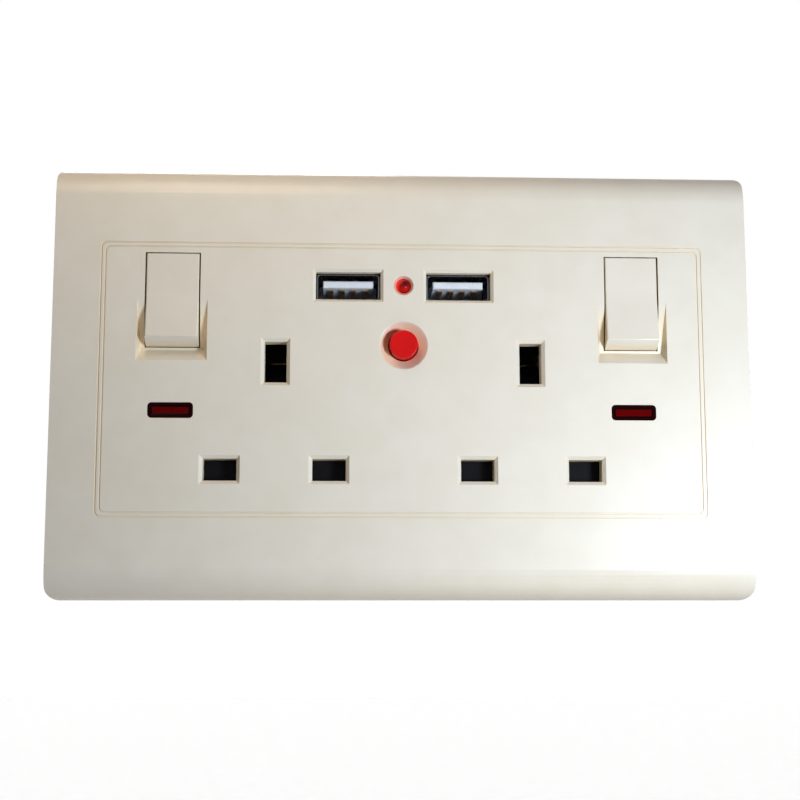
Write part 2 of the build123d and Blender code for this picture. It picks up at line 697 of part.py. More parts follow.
face_u = FACE_INSET - PIVOT_DEPTH
for side_name, side in SIDES.items():
    hinge = tilted_plane(side * ROCKER_X, PIVOT_Y, -HALF_TILT)
    rear_plane = Plane(origin=hinge.from_local_coords((0, 0, 0)), x_dir=(1, 0, 0), z_dir=hinge.x_dir)

    # Rocker: a drum segment about its trunnions with a dished, two-plane face
    with BuildPart() as rocker:
        reach = ROCKER_R + ROCKER_WALL
        lean = reach * tan(radians(HALF_TILT))
        with BuildSketch(hinge):
            Circle(ROCKER_R)
            with BuildLine():
                Polyline(
                    (face_u, 0),
                    (face_u - lean, reach),
                    (SKIRT_U, reach),
                    (SKIRT_U, -reach),
                    (face_u - lean, -reach),
                    close=True,
                )
            make_face(mode=Mode.INTERSECT)
        extrude(amount=ROCKER_W / 2, both=True)
        crease = hinge.from_local_coords((face_u, 0, 0))
        fillet(rocker.edges().filter_by(Axis.X).sort_by_distance(crease)[0], DISH_R)
        front_edges = rocker.faces().filter_by(lambda face: face.normal_at().Y < -FACING_SHARE).edges()
        chamfer(front_edges - front_edges.filter_by(Axis.X), ROCKER_EDGE)
        front_edges = rocker.faces().filter_by(lambda face: face.normal_at().Y < -FACING_SHARE).edges()
        end_edges = front_edges.filter_by(Axis.X).sort_by(Axis.Z)
        fillet((end_edges[0], end_edges[-1]), ROCKER_EDGE)
        with BuildSketch(rear_plane.offset(SKIRT_U)):
            Rectangle(ROCKER_W - 2 * ROCKER_WALL, 2 * (ROCKER_R - ROCKER_WALL) - 2 * ROCKER_WALL)
        extrude(amount=face_u + ROCKER_FACE_T - SKIRT_U, mode=Mode.SUBTRACT)
        with BuildSketch(rear_plane.offset(face_u + ROCKER_FACE_T)):
            Circle(STEM_R)
        extrude(amount=STEM_END_U - face_u - ROCKER_FACE_T)
        with BuildSketch(rear_plane.offset(BORE_FROM_U)):
            Circle(PLUNGER_R + RUNNING_FIT)
        extrude(amount=STEM_END_U - BORE_FROM_U, mode=Mode.SUBTRACT)
        for end in (-1, 1):
            with BuildSketch(hinge.offset(end * ROCKER_W / 2)):
                Circle(TRUNNION_R)
            extrude(amount=end * TRUNNION_L)
    save(rocker.part, f"rocker_{side_name}")

    # Plunger that presses the rocking contact over centre
    tip_u = LEVER_Y - LEVER_T - PIVOT_Y - SLACK
    with BuildPart() as plunger:
        with BuildSketch(hinge):
            with BuildLine():
                Polyline(
                    (tip_u, 0),
                    (PLUNGER_FROM_U, 0),
                    (PLUNGER_FROM_U, PLUNGER_R),
                    (tip_u - PLUNGER_R, PLUNGER_R),
                )
                CenterArc((tip_u - PLUNGER_R, 0), PLUNGER_R, 0, QUARTER)
            make_face()
        revolve(axis=Axis(hinge.origin, hinge.x_dir))
    save(plunger.part, f"rocker_plunger_{side_name}")

    with BuildPart() as rocker_spring:
        coil(
            rear_plane.offset(BORE_FROM_U + SPRING_WIRE_R),
            PLUNGER_R - SPRING_WIRE_R,
            PLUNGER_FROM_U - BORE_FROM_U - 2 * SPRING_WIRE_R,
            SPRING_COILS,
        )
    save(rocker_spring.part, f"rocker_spring_{side_name}")

    # Rocking contact lever with its contact button
    lever_plane = tilted_plane(side * ROCKER_X, LEVER_Y, LEVER_TRAVEL / 2)
    lever_rear = Plane(origin=lever_plane.origin, x_dir=(1, 0, 0), z_dir=lever_plane.x_dir)
    with BuildPart() as lever:
        with BuildSketch(lever_rear):
            RectangleRounded(LEVER_W, LEVER_L, LEVER_CORNER_R)
        extrude(amount=-LEVER_T)
        with BuildSketch(lever_rear):
            with Locations((0, -CONTACT_ARM)):
                Circle(CONTACT_R)
        extrude(amount=CONTACT_H, taper=CONTACT_TAPER)
    save(lever.part, f"moving_contact_{side_name}")


def leaf_pair(plane, width, centre, mouth_y, throat_y, web_y, half):
    """Two sprung leaves of a pin clip, drawn across the pin's thickness and extruded over its width."""
    throat = PIN_T / 2 - GRIP + LEAF_T / 2
    for end in (-1, 1):
        with BuildSketch(plane) as leaf:
            with BuildLine():
                Polyline(
                    (web_y, centre + end * (half - LEAF_T / 2)),
                    ((web_y + throat_y) / 2, centre + end * (half - LEAF_T / 2)),
                    (throat_y, centre + end * throat),
                    (mouth_y, centre + end * (throat + FLARE)),
                )
            trace(line_width=LEAF_T)
        extrude(leaf.sketch, amount=width)


def power_clip(x):
    """Clip for a line or neutral pin: a web across the back and two leaves."""
    blocks([(x, POWER_Z)], POWER_CLIP_W, 2 * CLIP_HALF, STRIP_Y + STRIP_T, STRIP_Y)
    plane = Plane.YZ.offset(x - POWER_CLIP_W / 2)
    leaf_pair(plane, POWER_CLIP_W, POWER_Z, POWER_MOUTH_Y, POWER_THROAT_Y, STRIP_Y, CLIP_HALF)


# Line strips, from the line clip up to the fulcrum under the rocking contact
strip_back = STRIP_Y + STRIP_T
strip_top = ROCKER_Z + STRIP_TOP_RISE
for side_name, side in SIDES.items():
    clip_x = side * SOCKET_X + HALF_SPACING
    fulcrum_x = side * ROCKER_X
    cross_low = min(clip_x, fulcrum_x) - RISER_W / 2
    cross_high = max(clip_x, fulcrum_x) + RISER_W / 2
    with BuildPart() as line_strip:
        power_clip(clip_x)
        blocks(
            [(clip_x, (POWER_Z + CROSS_STRIP_Z) / 2)],
            RISER_W,
            CROSS_STRIP_Z - POWER_Z,
            strip_back,
            STRIP_Y,
        )
        blocks(
            [((cross_low + cross_high) / 2, CROSS_STRIP_Z + CROSS_STRIP_H / 2)],
            cross_high - cross_low,
            CROSS_STRIP_H,
            strip_back,
            STRIP_Y,
        )
        blocks(
            [(fulcrum_x, (CROSS_STRIP_Z + strip_top) / 2)],
            RISER_W,
            strip_top - CROSS_STRIP_Z,
            strip_back,
            STRIP_Y,
        )
        knife_y = LEVER_Y + SLACK
        with BuildSketch(Plane.YZ.offset(fulcrum_x)):
            with BuildLine():
                Polyline(
                    (STRIP_Y, ROCKER_Z + (STRIP_Y - knife_y)),
                    (knife_y, ROCKER_Z),
                    (STRIP_Y, ROCKER_Z - (STRIP_Y - knife_y)),
                    close=True,
                )
            make_face()
        extrude(amount=RISER_W / 2, both=True)
    save(line_strip.part, f"line_strip_{side_name}")

# Live bar with the two fixed contacts
tab_h = LIVE_Z - LIVE_H / 2 - (ROCKER_Z + CONTACT_ARM - CONTACT_R)
lever_reach = CONTACT_ARM * sin(radians(LEVER_TRAVEL / 2)) + CONTACT_H
fixed_contact_y = LEVER_Y + lever_reach + SLACK
with BuildPart() as live_bar:
    blocks([(0, LIVE_Z)], 2 * ROCKER_X + LEVER_W, LIVE_H, LIVE_TERMINAL_FRONT, LIVE_Y)
    blocks(
        both_sides(ROCKER_X, LIVE_Z - LIVE_H / 2 - tab_h / 2), LEVER_W, tab_h, LIVE_TERMINAL_FRONT, LIVE_Y
    )
    blocks(
        [(LIVE_TERMINAL_X, UPPER_TERMINAL_Z)], TERMINAL_W, TERMINAL_H, LIVE_TERMINAL_FRONT, LIVE_Y
    )
    rounds(both_sides(ROCKER_X, ROCKER_Z + CONTACT_ARM), CONTACT_R, LIVE_Y, fixed_contact_y)
save(live_bar.part, "live_bar")

# Neutral bar with a clip for each socket
neutral_left = -SOCKET_X - HALF_SPACING
neutral_right = SOCKET_X - HALF_SPACING
neutral_terminal_z = NEUTRAL_Z + (TERMINAL_H - NEUTRAL_H) / 2
with BuildPart() as neutral_bar:
    for pin_x in (neutral_left, neutral_right):
        power_clip(pin_x)
        blocks(
            [(pin_x, (POWER_Z + NEUTRAL_Z) / 2)], POWER_CLIP_W, POWER_Z - NEUTRAL_Z, strip_back, STRIP_Y
        )
    blocks(
        [((neutral_left + neutral_right) / 2, NEUTRAL_Z)],
        neutral_right - neutral_left + PIN_T * 2,
        NEUTRAL_H,
        strip_back,
        STRIP_Y,
    )
    blocks([(0, neutral_terminal_z)], TERMINAL_W, TERMINAL_H, strip_back, STRIP_Y)
save(neutral_bar.part, "neutral_bar")

# Earth strap with a clip for each socket and a riser to the earth terminal
with BuildPart() as earth_strap:
    blocks(
        [(0, EARTH_Z)],
        2 * SOCKET_X + 2 * CLIP_HALF,
        EARTH_STRAP_H,
        EARTH_TERMINAL_FRONT,
        EARTH_STRAP_Y,
    )
    blocks(
        both_sides(SOCKET_X, EARTH_Z), 2 * CLIP_HALF, EARTH_CLIP_H, EARTH_TERMINAL_FRONT, EARTH_STRAP_Y
    )
    riser_top = UPPER_TERMINAL_Z + TERMINAL_H / 2
    blocks(
        [(0, (EARTH_Z + riser_top) / 2)],
        TERMINAL_W,
        riser_top - EARTH_Z,
        EARTH_TERMINAL_FRONT,
        EARTH_STRAP_Y,
    )
    for socket_x in (-SOCKET_X, SOCKET_X):
        across = Plane(
            origin=(0, 0, EARTH_Z - EARTH_CLIP_H / 2), x_dir=(0, 1, 0), z_dir=(0, 0, 1)
        )
        leaf_pair(across, EARTH_CLIP_H, -socket_x, EARTH_MOUTH_Y, EARTH_THROAT_Y, EARTH_STRAP_Y, CLIP_HALF)
save(earth_strap.part, "earth_strap")


def terminal(name, x, z, width, front_y, bore_r, bore_places):
    """Brass pillar terminal: a block with vertical cable bores and a tapped hole for each screw."""
    with BuildPart() as block:
        blocks([(x, z)], width, TERMINAL_H, TERMINAL_BACK, front_y)
        chamfer(block.edges().filter_by(Axis.Z), SLACK)
        bore_y = (front_y + TERMINAL_BACK) / 2
        with BuildSketch(Plane.XY.offset(z - TERMINAL_H / 2)):
            with Locations(*[(bore_x, bore_y) for bore_x in bore_places]):
                Circle(bore_r)
        extrude(amount=TERMINAL_H, mode=Mode.SUBTRACT)
        tapped = [(bore_x, z) for bore_x in bore_places]
        rounds(tapped, CLAMP_SCREW_R + RUNNING_FIT, TERMINAL_BACK, bore_y, Mode.SUBTRACT)
    save(block.part, name)
    return [(bore_x, z, bore_y) for bore_x in bore_places]


clamps = terminal(
    "live_terminal",
    LIVE_TERMINAL_X,
    UPPER_TERMINAL_Z,
    TERMINAL_W,
    LIVE_TERMINAL_FRONT,
    TERMINAL_BORE_R,
    [LIVE_TERMINAL_X],
)
clamps += terminal(
    "neutral_terminal",
    0,
    neutral_terminal_z,
    TERMINAL_W,
    NEUTRAL_TERMINAL_FRONT,
    TERMINAL_BORE_R,
    [0],
)
clamps += terminal(
    "earth_terminal",
    0,
    UPPER_TERMINAL_Z,
    EARTH_TERMINAL_W,
    EARTH_TERMINAL_FRONT,
    EARTH_BORE_R,
    [-EARTH_BORE_PITCH / 2, EARTH_BORE_PITCH / 2],
)

# Clamping screws of the four cable bores
with BuildPart() as terminal_screws:
    for screw_x, screw_z, bore_y in clamps:
        spot = [(screw_x, screw_z)]
        rounds(spot, CLAMP_SCREW_R, TERMINAL_BACK, bore_y + TERMINAL_BORE_R)
        rounds(spot, CLAMP_HEAD_R, TERMINAL_BACK + CLAMP_HEAD_T, TERMINAL_BACK)
        blocks(
            spot,
            2 * CLAMP_HEAD_R,
            SCREW_SLOT_W,
            TERMINAL_BACK + CLAMP_HEAD_T,
            TERMINAL_BACK + CLAMP_HEAD_T / 2,
            Mode.SUBTRACT,
        )
save(terminal_screws.part, "terminal_screws")

# Shutters, each with the ramp that the earth pin pushes down
ramp_top = RAMP_FRONT_Z + SHUTTER_TRAVEL
for side_name, side in SIDES.items():
    socket_x = side * SOCKET_X
    stem_top = RAMP_FRONT_Z
    with BuildPart() as shutter:
        blocks([(socket_x, POWER_Z)], SHUTTER_BAR_W, SHUTTER_BAR_H, SHUTTER_BACK, SHUTTER_FRONT)
        blocks(
            [(socket_x, (POWER_Z + stem_top) / 2)],
            SHUTTER_STEM_W,
            stem_top - POWER_Z,
            SHUTTER_BACK,
            SHUTTER_FRONT,
        )
        with BuildSketch(Plane.YZ.offset(socket_x)):
            with BuildLine():
                Polyline(
                    (SHUTTER_FRONT, RAMP_FRONT_Z),
                    (RAMP_BACK_Y, ramp_top),
                    (RAMP_BACK_Y + RAMP_LAND, ramp_top),
                    (RAMP_BACK_Y + RAMP_LAND, RAMP_FRONT_Z),
                    (SHUTTER_BACK, RAMP_FRONT_Z - SHUTTER_TRAVEL),
                    (SHUTTER_FRONT, RAMP_FRONT_Z - SHUTTER_TRAVEL),
                    close=True,
                )
            make_face()
        extrude(amount=SHUTTER_STEM_W / 2, both=True)
    save(shutter.part, f"shutter_{side_name}")

    # Return spring between the shutter and the floor of the frame
    spring_bottom = track_z + SPRING_WIRE_R
    spring_top = POWER_Z - SHUTTER_BAR_H / 2 - SPRING_WIRE_R
    with BuildPart() as shutter_spring:
        coil(
            Plane(origin=(socket_x, (SHUTTER_FRONT + SHUTTER_BACK) / 2, spring_bottom)),
            SHUTTER_SPRING_R,
            spring_top - spring_bottom,
            SPRING_COILS,
        )
    save(shutter_spring.part, f"shutter_spring_{side_name}")

# Neon indicators
for side_name, side in SIDES.items():
    neon_x = side * NEON_X

    # Lens: a hollow red window with a lip behind the cover
    with BuildPart() as lens:
        with BuildSketch(front(COVER_BACK)):
            with Locations((neon_x, NEON_Z)):
                RectangleRounded(NEON_W, NEON_H, NEON_R)
        extrude(amount=COVER_WALL)
        blocks(
            [(neon_x, NEON_Z)],
            NEON_W + 2 * NEON_LIP,
            NEON_H + 2 * NEON_LIP,
            COVER_BACK + NEON_LIP_T,
            COVER_BACK,
        )
        blocks(
            [(neon_x, NEON_Z)],
            NEON_W - 2 * NEON_WALL,
            NEON_H - 2 * NEON_WALL,
            COVER_BACK + NEON_LIP_T,
            FACE_Y + NEON_WALL,
            Mode.SUBTRACT,
        )
    save(lens.part, f"neon_lens_{side_name}")

    # Lamp: a glass tube with rounded ends and a lead back to the line strip
    lamp_axis = Plane(origin=(neon_x, LAMP_Y, NEON_Z), x_dir=(0, 1, 0), z_dir=(side, 0, 0))
    with BuildPart() as lamp:
        with BuildSketch(lamp_axis.offset(-LAMP_L / 2)):
            Circle(LAMP_R)
        extrude(amount=LAMP_L)
        chamfer(lamp.edges().filter_by(GeomType.CIRCLE), LAMP_EDGE)
        rounds([(neon_x - side * LAMP_LEAD_X, NEON_Z)], LEAD_R, STRIP_Y, LAMP_Y)
    save(lamp.part, f"neon_lamp_{side_name}")

    # Series resistor, with a wire that runs behind the strips to the neutral bar
    wire_x = side * (NEON_X + LAMP_L / 2)
    wire_y = STRIP_Y + STRIP_T + 2 * WIRE_R + ROOM
    wire_end_x = neutral_left if side < 0 else neutral_right + PIN_T / 2
    resistor_front = -NEST_D + ROOM
    with BuildPart() as resistor:
        rounds(
            [(wire_x, NEON_Z)], RESISTOR_R, resistor_front + RESISTOR_L, resistor_front
        )
        chamfer(resistor.edges().filter_by(GeomType.CIRCLE), RESISTOR_EDGE)
        rounds([(wire_x, NEON_Z)], LEAD_R, resistor_front + RESISTOR_R, LAMP_Y + LAMP_R)
        with BuildLine() as wire_path:
            FilletPolyline(
                (wire_x, resistor_front + RESISTOR_L - RESISTOR_R, NEON_Z),
                (wire_x, wire_y, NEON_Z),
                (side * (SOCKET_X + HALF_SPACING + PEG_W), wire_y, POWER_Z - ROOM),
                (side * (SOCKET_X + HALF_SPACING + PEG_W / 2), wire_y, NEUTRAL_Z + WIRE_R),
                (wire_end_x, wire_y, NEUTRAL_Z + WIRE_R),
                (wire_end_x, STRIP_Y + STRIP_T, NEUTRAL_Z + WIRE_R),
                radius=WIRE_BEND / 2,
            )
        with BuildSketch(Plane(origin=wire_path.wire() @ 0, z_dir=wire_path.wire() % 0)):
            Circle(WIRE_R)
        sweep(path=wire_path.wire())
    save(resistor.part, f"neon_resistor_{side_name}")

# Charger board
board_h = BOARD_TOP - BOARD_BOTTOM
board_back = BOARD_Y + BOARD_T
with BuildPart() as charger_board:
    blocks([(0, BOARD_BOTTOM + board_h / 2)], BOARD_W, board_h, board_back, BOARD_Y)
    fillet(charger_board.edges().filter_by(Axis.Y), CORNER_R / 2)
save(charger_board.part, "charger_board")

# USB receptacles, standing on the board behind the cover
for side_name, side in SIDES.items():
    port_x = side * USB_X
    shell_front = COVER_BACK + SLACK
    with BuildPart() as usb_shell:
        with BuildSketch(front(BOARD_Y)):
            with Locations((port_x, USB_Z)):
                RectangleRounded(SHELL_W, SHELL_H, SHELL_R)
            offset(amount=-SHELL_T, mode=Mode.SUBTRACT)
        extrude(amount=BOARD_Y - shell_front)
        with BuildSketch(Plane.XY.offset(USB_Z + SHELL_H / 2 - 2 * SHELL_T)):
            with Locations(
                (port_x - SHELL_WINDOW_X, shell_front + SHELL_WINDOW_L),
                (port_x + SHELL_WINDOW_X, shell_front + SHELL_WINDOW_L),
            ):
                Rectangle(SHELL_WINDOW_W, SHELL_WINDOW_L)
        extrude(amount=2 * SHELL_T, mode=Mode.SUBTRACT)
    save(usb_shell.part, f"usb_shell_{side_name}")

    tongue_z = USB_Z + TONGUE_RISE
    tongue_tip = FACE_Y + TONGUE_INSET
    base_front = BOARD_Y - INSULATOR_D
    with BuildPart() as usb_tongue:
        rounded_blocks(
            [(port_x, USB_Z)],
            SHELL_W - 2 * SHELL_T - SLACK,
            SHELL_H - 2 * SHELL_T - SLACK,
            SHELL_R,
            BOARD_Y,
            base_front,
        )
        blocks([(port_x, tongue_z)], TONGUE_W, TONGUE_T, base_front, tongue_tip)
        chamfer(usb_tongue.faces().sort_by(Axis.Y)[0].edges(), CONTACT_T)
    save(usb_tongue.part, f"usb_tongue_{side_name}")

    # Four contact springs under the tongue
    with BuildPart() as usb_contacts:
        first_x = port_x - (CONTACT_COUNT - 1) * CONTACT_PITCH / 2
        contact_places = [
            (first_x + step * CONTACT_PITCH, tongue_z - TONGUE_T / 2 - CONTACT_T / 2)
            for step in range(CONTACT_COUNT)
        ]
        blocks(contact_places, CONTACT_W, CONTACT_T, base_front, tongue_tip + 2 * CONTACT_W)
    save(usb_contacts.part, f"usb_contacts_{side_name}")

# Indicator LED on two leads
led_tip = FACE_Y - LED_PROUD
led_back = led_tip + LED_LENGTH
with BuildPart() as indicator_led:
    with BuildSketch(Plane.YZ):
        with BuildLine():
            CenterArc((led_tip + LED_R, LED_Z), LED_R, QUARTER, QUARTER)
            Polyline(
                (led_tip + LED_R, LED_Z + LED_R),
                (led_back, LED_Z + LED_R),
                (led_back, LED_Z + LED_FLANGE_R),
                (led_back + LED_FLANGE_T, LED_Z + LED_FLANGE_R),
                (led_back + LED_FLANGE_T, LED_Z),
                (led_tip, LED_Z),
            )
        make_face()
    revolve(axis=Axis((0, 0, LED_Z), (0, 1, 0)))
    rounds(both_sides(LED_PITCH, LED_Z), LEAD_R, BOARD_Y, led_back + LED_FLANGE_T / 2)
save(indicator_led.part, "indicator_led")

# Push switch under the red button
flange_front = COVER_BACK + SLACK
flange_back = flange_front + BUTTON_FLANGE_T
with BuildPart() as push_switch_body:
    blocks([(0, BUTTON_Z)], PUSH_SWITCH_SIZE, PUSH_SWITCH_SIZE, BOARD_Y, PUSH_SWITCH_FRONT)
    chamfer(push_switch_body.edges().filter_by(Axis.Y), BUTTON_EDGE_R)
    rounds(
        [(0, BUTTON_Z)],
        BUTTON_STEM_R + RUNNING_FIT,
        flange_back + BUTTON_STEM_L + BUTTON_TRAVEL + PUSH_SPRING_L,
        PUSH_SWITCH_FRONT,
        Mode.SUBTRACT,
    )
save(push_switch_body.part, "push_switch_body")

button_top = FACE_Y - BUTTON_PROUD
with BuildPart() as button_cap:
    rounds([(0, BUTTON_Z)], BUTTON_R, flange_back, button_top)
    fillet(button_cap.edges().sort_by(Axis.Y)[0], BUTTON_EDGE_R)
    rounds([(0, BUTTON_Z)], BUTTON_FLANGE_R, flange_back, flange_front)
    rounds([(0, BUTTON_Z)], BUTTON_STEM_R, flange_back + BUTTON_STEM_L, flange_back)
save(button_cap.part, "button_cap")

# Transformer: ferrite core with two windows and the winding round its middle limb
core_back = board_back + CORE_D
with BuildPart() as transformer_core:
    blocks([(CORE_X, CORE_Z)], CORE_W, CORE_H, core_back, board_back)
    window_w = CORE_W / 2 - CORE_LIMB / 2 - CORE_LIMB
    window_x = CORE_LIMB / 2 + window_w / 2
    window_places = [(CORE_X - window_x, CORE_Z), (CORE_X + window_x, CORE_Z)]
    blocks(window_places, window_w, CORE_H - 2 * CORE_LIMB, core_back, board_back, Mode.SUBTRACT)
save(transformer_core.part, "transformer_core")

with BuildPart() as transformer_winding:
    winding_mid = (core_back + board_back) / 2
    winding_w = CORE_LIMB + 2 * window_w - 2 * SLACK
    blocks(
        [(CORE_X, CORE_Z)],
        winding_w,
        CORE_H - 2 * CORE_LIMB - 2 * SLACK,
        winding_mid + CORE_D / 2 + WINDING_PROUD,
        winding_mid - CORE_D / 2,
    )
    blocks(
        [(CORE_X, CORE_Z)],
        CORE_LIMB + 2 * RUNNING_FIT,
        CORE_H - 2 * CORE_LIMB,
        core_back + RUNNING_FIT,
        board_back,
        Mode.SUBTRACT,
    )
save(transformer_winding.part, "transformer_winding")

# Smoothing capacitor lying along the board, with its rolled groove
cap_y = board_back + CAP_R + RUNNING_FIT
with BuildPart() as smoothing_capacitor:
    with BuildSketch(Plane.XY.offset(CAP_BOTTOM)):
        with Locations((CAP_X, cap_y)):
            Circle(CAP_R)
    extrude(amount=CAP_L)
    chamfer(smoothing_capacitor.edges().filter_by(GeomType.CIRCLE), CAP_GROOVE_R)
    with BuildSketch(Plane.XZ.offset(-cap_y)):
        with Locations((CAP_X + CAP_R, CAP_BOTTOM + CAP_R / 2)):
            Rectangle(2 * CAP_GROOVE_R, 2 * CAP_GROOVE_R, rotation=QUARTER / 2)
    revolve(axis=Axis((CAP_X, cap_y, 0), (0, 0, 1)), mode=Mode.SUBTRACT)
save(smoothing_capacitor.part, "smoothing_capacitor")

# Charger leads: a pin to the live bar and a wire to the neutral bar
with BuildPart() as charger_leads:
    lead_z = LIVE_Z - LIVE_H / 2 + WIRE_R
    rounds([(PIN_LEAD_X, lead_z)], WIRE_R, LIVE_Y, board_back)
    with BuildLine() as lead_path:
        FilletPolyline(
            (WIRE_LEAD_X, board_back, WIRE_LEAD_Z),
            (WIRE_LEAD_X, board_back + WIRE_BEND, WIRE_LEAD_Z),
            (WIRE_LEAD_X, board_back + WIRE_BEND, NEUTRAL_Z),
            (WIRE_LEAD_X, STRIP_Y, NEUTRAL_Z),
            radius=WIRE_BEND / 2,
        )
    with BuildSketch(Plane(origin=lead_path.wire() @ 0, z_dir=lead_path.wire() % 0)):
        Circle(WIRE_R)
    sweep(path=lead_path.wire())
save(charger_leads.part, "charger_leads")
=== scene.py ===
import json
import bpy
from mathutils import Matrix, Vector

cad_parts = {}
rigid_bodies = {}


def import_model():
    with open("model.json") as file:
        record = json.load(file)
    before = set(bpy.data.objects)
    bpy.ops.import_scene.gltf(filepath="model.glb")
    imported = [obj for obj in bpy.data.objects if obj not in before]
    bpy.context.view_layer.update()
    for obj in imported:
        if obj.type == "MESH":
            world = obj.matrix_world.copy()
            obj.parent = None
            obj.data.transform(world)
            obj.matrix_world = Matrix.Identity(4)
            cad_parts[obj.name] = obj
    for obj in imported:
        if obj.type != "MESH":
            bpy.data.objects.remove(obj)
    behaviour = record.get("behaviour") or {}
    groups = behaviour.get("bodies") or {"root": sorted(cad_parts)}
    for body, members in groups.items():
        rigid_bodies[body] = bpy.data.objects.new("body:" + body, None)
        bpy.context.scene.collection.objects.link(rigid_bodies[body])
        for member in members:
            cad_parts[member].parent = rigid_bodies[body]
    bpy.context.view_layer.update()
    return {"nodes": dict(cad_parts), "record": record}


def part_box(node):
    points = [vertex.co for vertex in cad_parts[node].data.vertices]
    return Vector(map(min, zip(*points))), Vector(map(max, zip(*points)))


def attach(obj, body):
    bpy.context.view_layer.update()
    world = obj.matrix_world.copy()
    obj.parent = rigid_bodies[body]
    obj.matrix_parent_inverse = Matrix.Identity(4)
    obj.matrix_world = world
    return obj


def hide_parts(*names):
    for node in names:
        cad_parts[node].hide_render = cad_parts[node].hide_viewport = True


bl_info = {
    "name": "Twin Wall Socket",
    "version": (1, 0, 0),
    "blender": (4, 5, 0),
    "location": "3D View > Sidebar > Wall Socket",
    "description": "Finishes a twin switched wall socket and lights it for a product picture",
    "category": "Object",
}

from math import radians

import bpy
from bpy.props import FloatProperty, FloatVectorProperty, IntProperty, PointerProperty
from mathutils import Matrix, Vector

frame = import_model()

MM = 0.001
SIDES = ("left", "right")
BODY_OF = {
    node: body for body, nodes in frame["record"]["behaviour"]["bodies"].items() for node in nodes
}

# From the middle of a socket across to its line or neutral pin
HALF_SPREAD = 22.23 / 2 * MM

# Copies of CAD nodes: points this close are one point and faces this flat one face,
# edges over the next angle are rounded, and smooth shading stops at the last
SAME_POINT = 0.0005 * MM
SAME_FACE = radians(0.4)
ROUNDED_EDGE = radians(28)
SHARP_EDGE = radians(50)

# Neon lens: faces this near its front belong to it, corner points of an inset run
# together under this share of its width, and smooth shading stops at this angle
FRONT_SLACK = 0.001 * MM
CORNER_SHARE = 0.4
LENS_SHARP_EDGE = radians(20)

# Textures: the range that noise mostly keeps to, the detail of clouds and of grain,
# and the scale that draws nothing out
NOISE_RANGE = (0.3, 0.7)
CLOUD_DETAIL = 3.0
GRAIN_DETAIL = 2.0
EVEN = (1.0, 1.0, 1.0)

# Ivory: painted shade, laid by ambient occlusion: the warm shade painted into hollows, the reach
# within which a hollow or a gap is felt, and the openness at which each begins and ends
PAINTED_HOLLOW_SHADE = (1.0, 0.92, 0.78)
HOLLOW_REACH = 3.0 * MM
HOLLOW_OPENNESS = (0.60, 0.95)
GAP_REACH = 0.7 * MM
GAP_OPENNESS = (0.13, 0.42)

# The share of a dish's radius from which the red light painted on it fades out
GLOW_FADE = 0.94

# Metal: how dark its clouds are, and their scale
METAL_SHADE = 0.82
METAL_CLOUD = 250.0

# LED: where the die cup shows along X and Z and where its dark fades, in cup radii
CUP_PLACE = (0.4, 0.9)
CUP_FADE = (0.6, 1.9)

# LED: a painted glow for lamplight gathered in the epoxy: the way it gathers, over which range of
# slopes, how strongly and in which red
PAINTED_GLOW_WAY = (-0.4, 0.85, 0.34)
PAINTED_GLOW_SLOPES = (-0.6, 0.5)
PAINTED_GLOW_STRENGTH = 1.4
PAINTED_GLOW_RED = (1.0, 0.04, 0.03, 1.0)
EPOXY_IOR = 1.53

# Stage, in metres: the surround, the floor and the middle of the plate's front
WHITE = (1.0, 1.0, 1.0, 1.0)
SURROUND_TONE = (1.0, 0.75, 0.50, 1.0)
FLOOR_SIZE = 6.0
FLOOR_PLACE = (0.0, 1.0, -0.30)
FLOOR_TONE = (0.80, 0.80, 0.80, 1.0)
FLOOR_LIFT = 0.85
PLATE_MIDDLE = (0.0, -0.009, 0.0)

# Camera, in metres: its place, and the way to the right and up in its picture
CAMERA_PLACE = (-0.014186, -0.306084, -0.046933)
CAMERA_RIGHT = Vector((0.99898, -0.04519, -0.00036))
CAMERA_UP = Vector((-0.00606, -0.14185, 0.98987))
CAMERA_NEAREST = 0.01
SENSOR_WIDTH_MM = 36.0


def length(name, description, default):
    """A length in metres that the panel offers."""
    return FloatProperty(
        name=name, description=description, default=default, min=0.0, precision=5, unit="LENGTH"
    )


def colour(name, description, default):
    """A linear colour that the panel offers."""
    return FloatVectorProperty(
        name=name,
        description=description,
        default=default,
        size=3,
        min=0.0,
        max=1.0,
        subtype="COLOR",
    )


def lamp_power(name, description, default):
    """A lamp's power in watts that the panel offers."""
    return FloatProperty(name=name, description=description, default=default, unit="POWER")


class WallSocketSizes(bpy.types.PropertyGroup):
    """Sizes of the details that the finishing adds"""

    moulded_edge: length("Moulded Edge", "Radius of the edges of the large mouldings", 0.15 * MM)
    fine_edge: length(
        "Fine Edge", "Radius of the edges of small mouldings and turned parts", 0.1 * MM
    )
    sheet_edge: length("Sheet Edge", "Radius of the edges of pressed sheet metal", 0.05 * MM)
    edge_segments: IntProperty(
        name="Edge Segments", description="Faces across each rounded edge", default=2, min=1, max=4
    )
    neon_rim: length("Neon Rim", "Width of the flat rim round a neon lens", 0.38 * MM)
    neon_slope: length("Neon Slope", "Width of the slope inside the rim", 0.45 * MM)
    neon_depth: length("Neon Depth", "Depth of the field behind the rim", 0.3 * MM)
    led_cup: length("LED Cup", "Radius of the die cup seen through the LED", 0.75 * MM)
    # The LED and button dish radii bound the red light painted on those dishes
    led_dish: length("LED Dish", "Radius of the dish that the LED reddens", 2.1 * MM)
    button_dish: length("Button Dish", "Radius of the dish that the button reddens", 5.0 * MM)


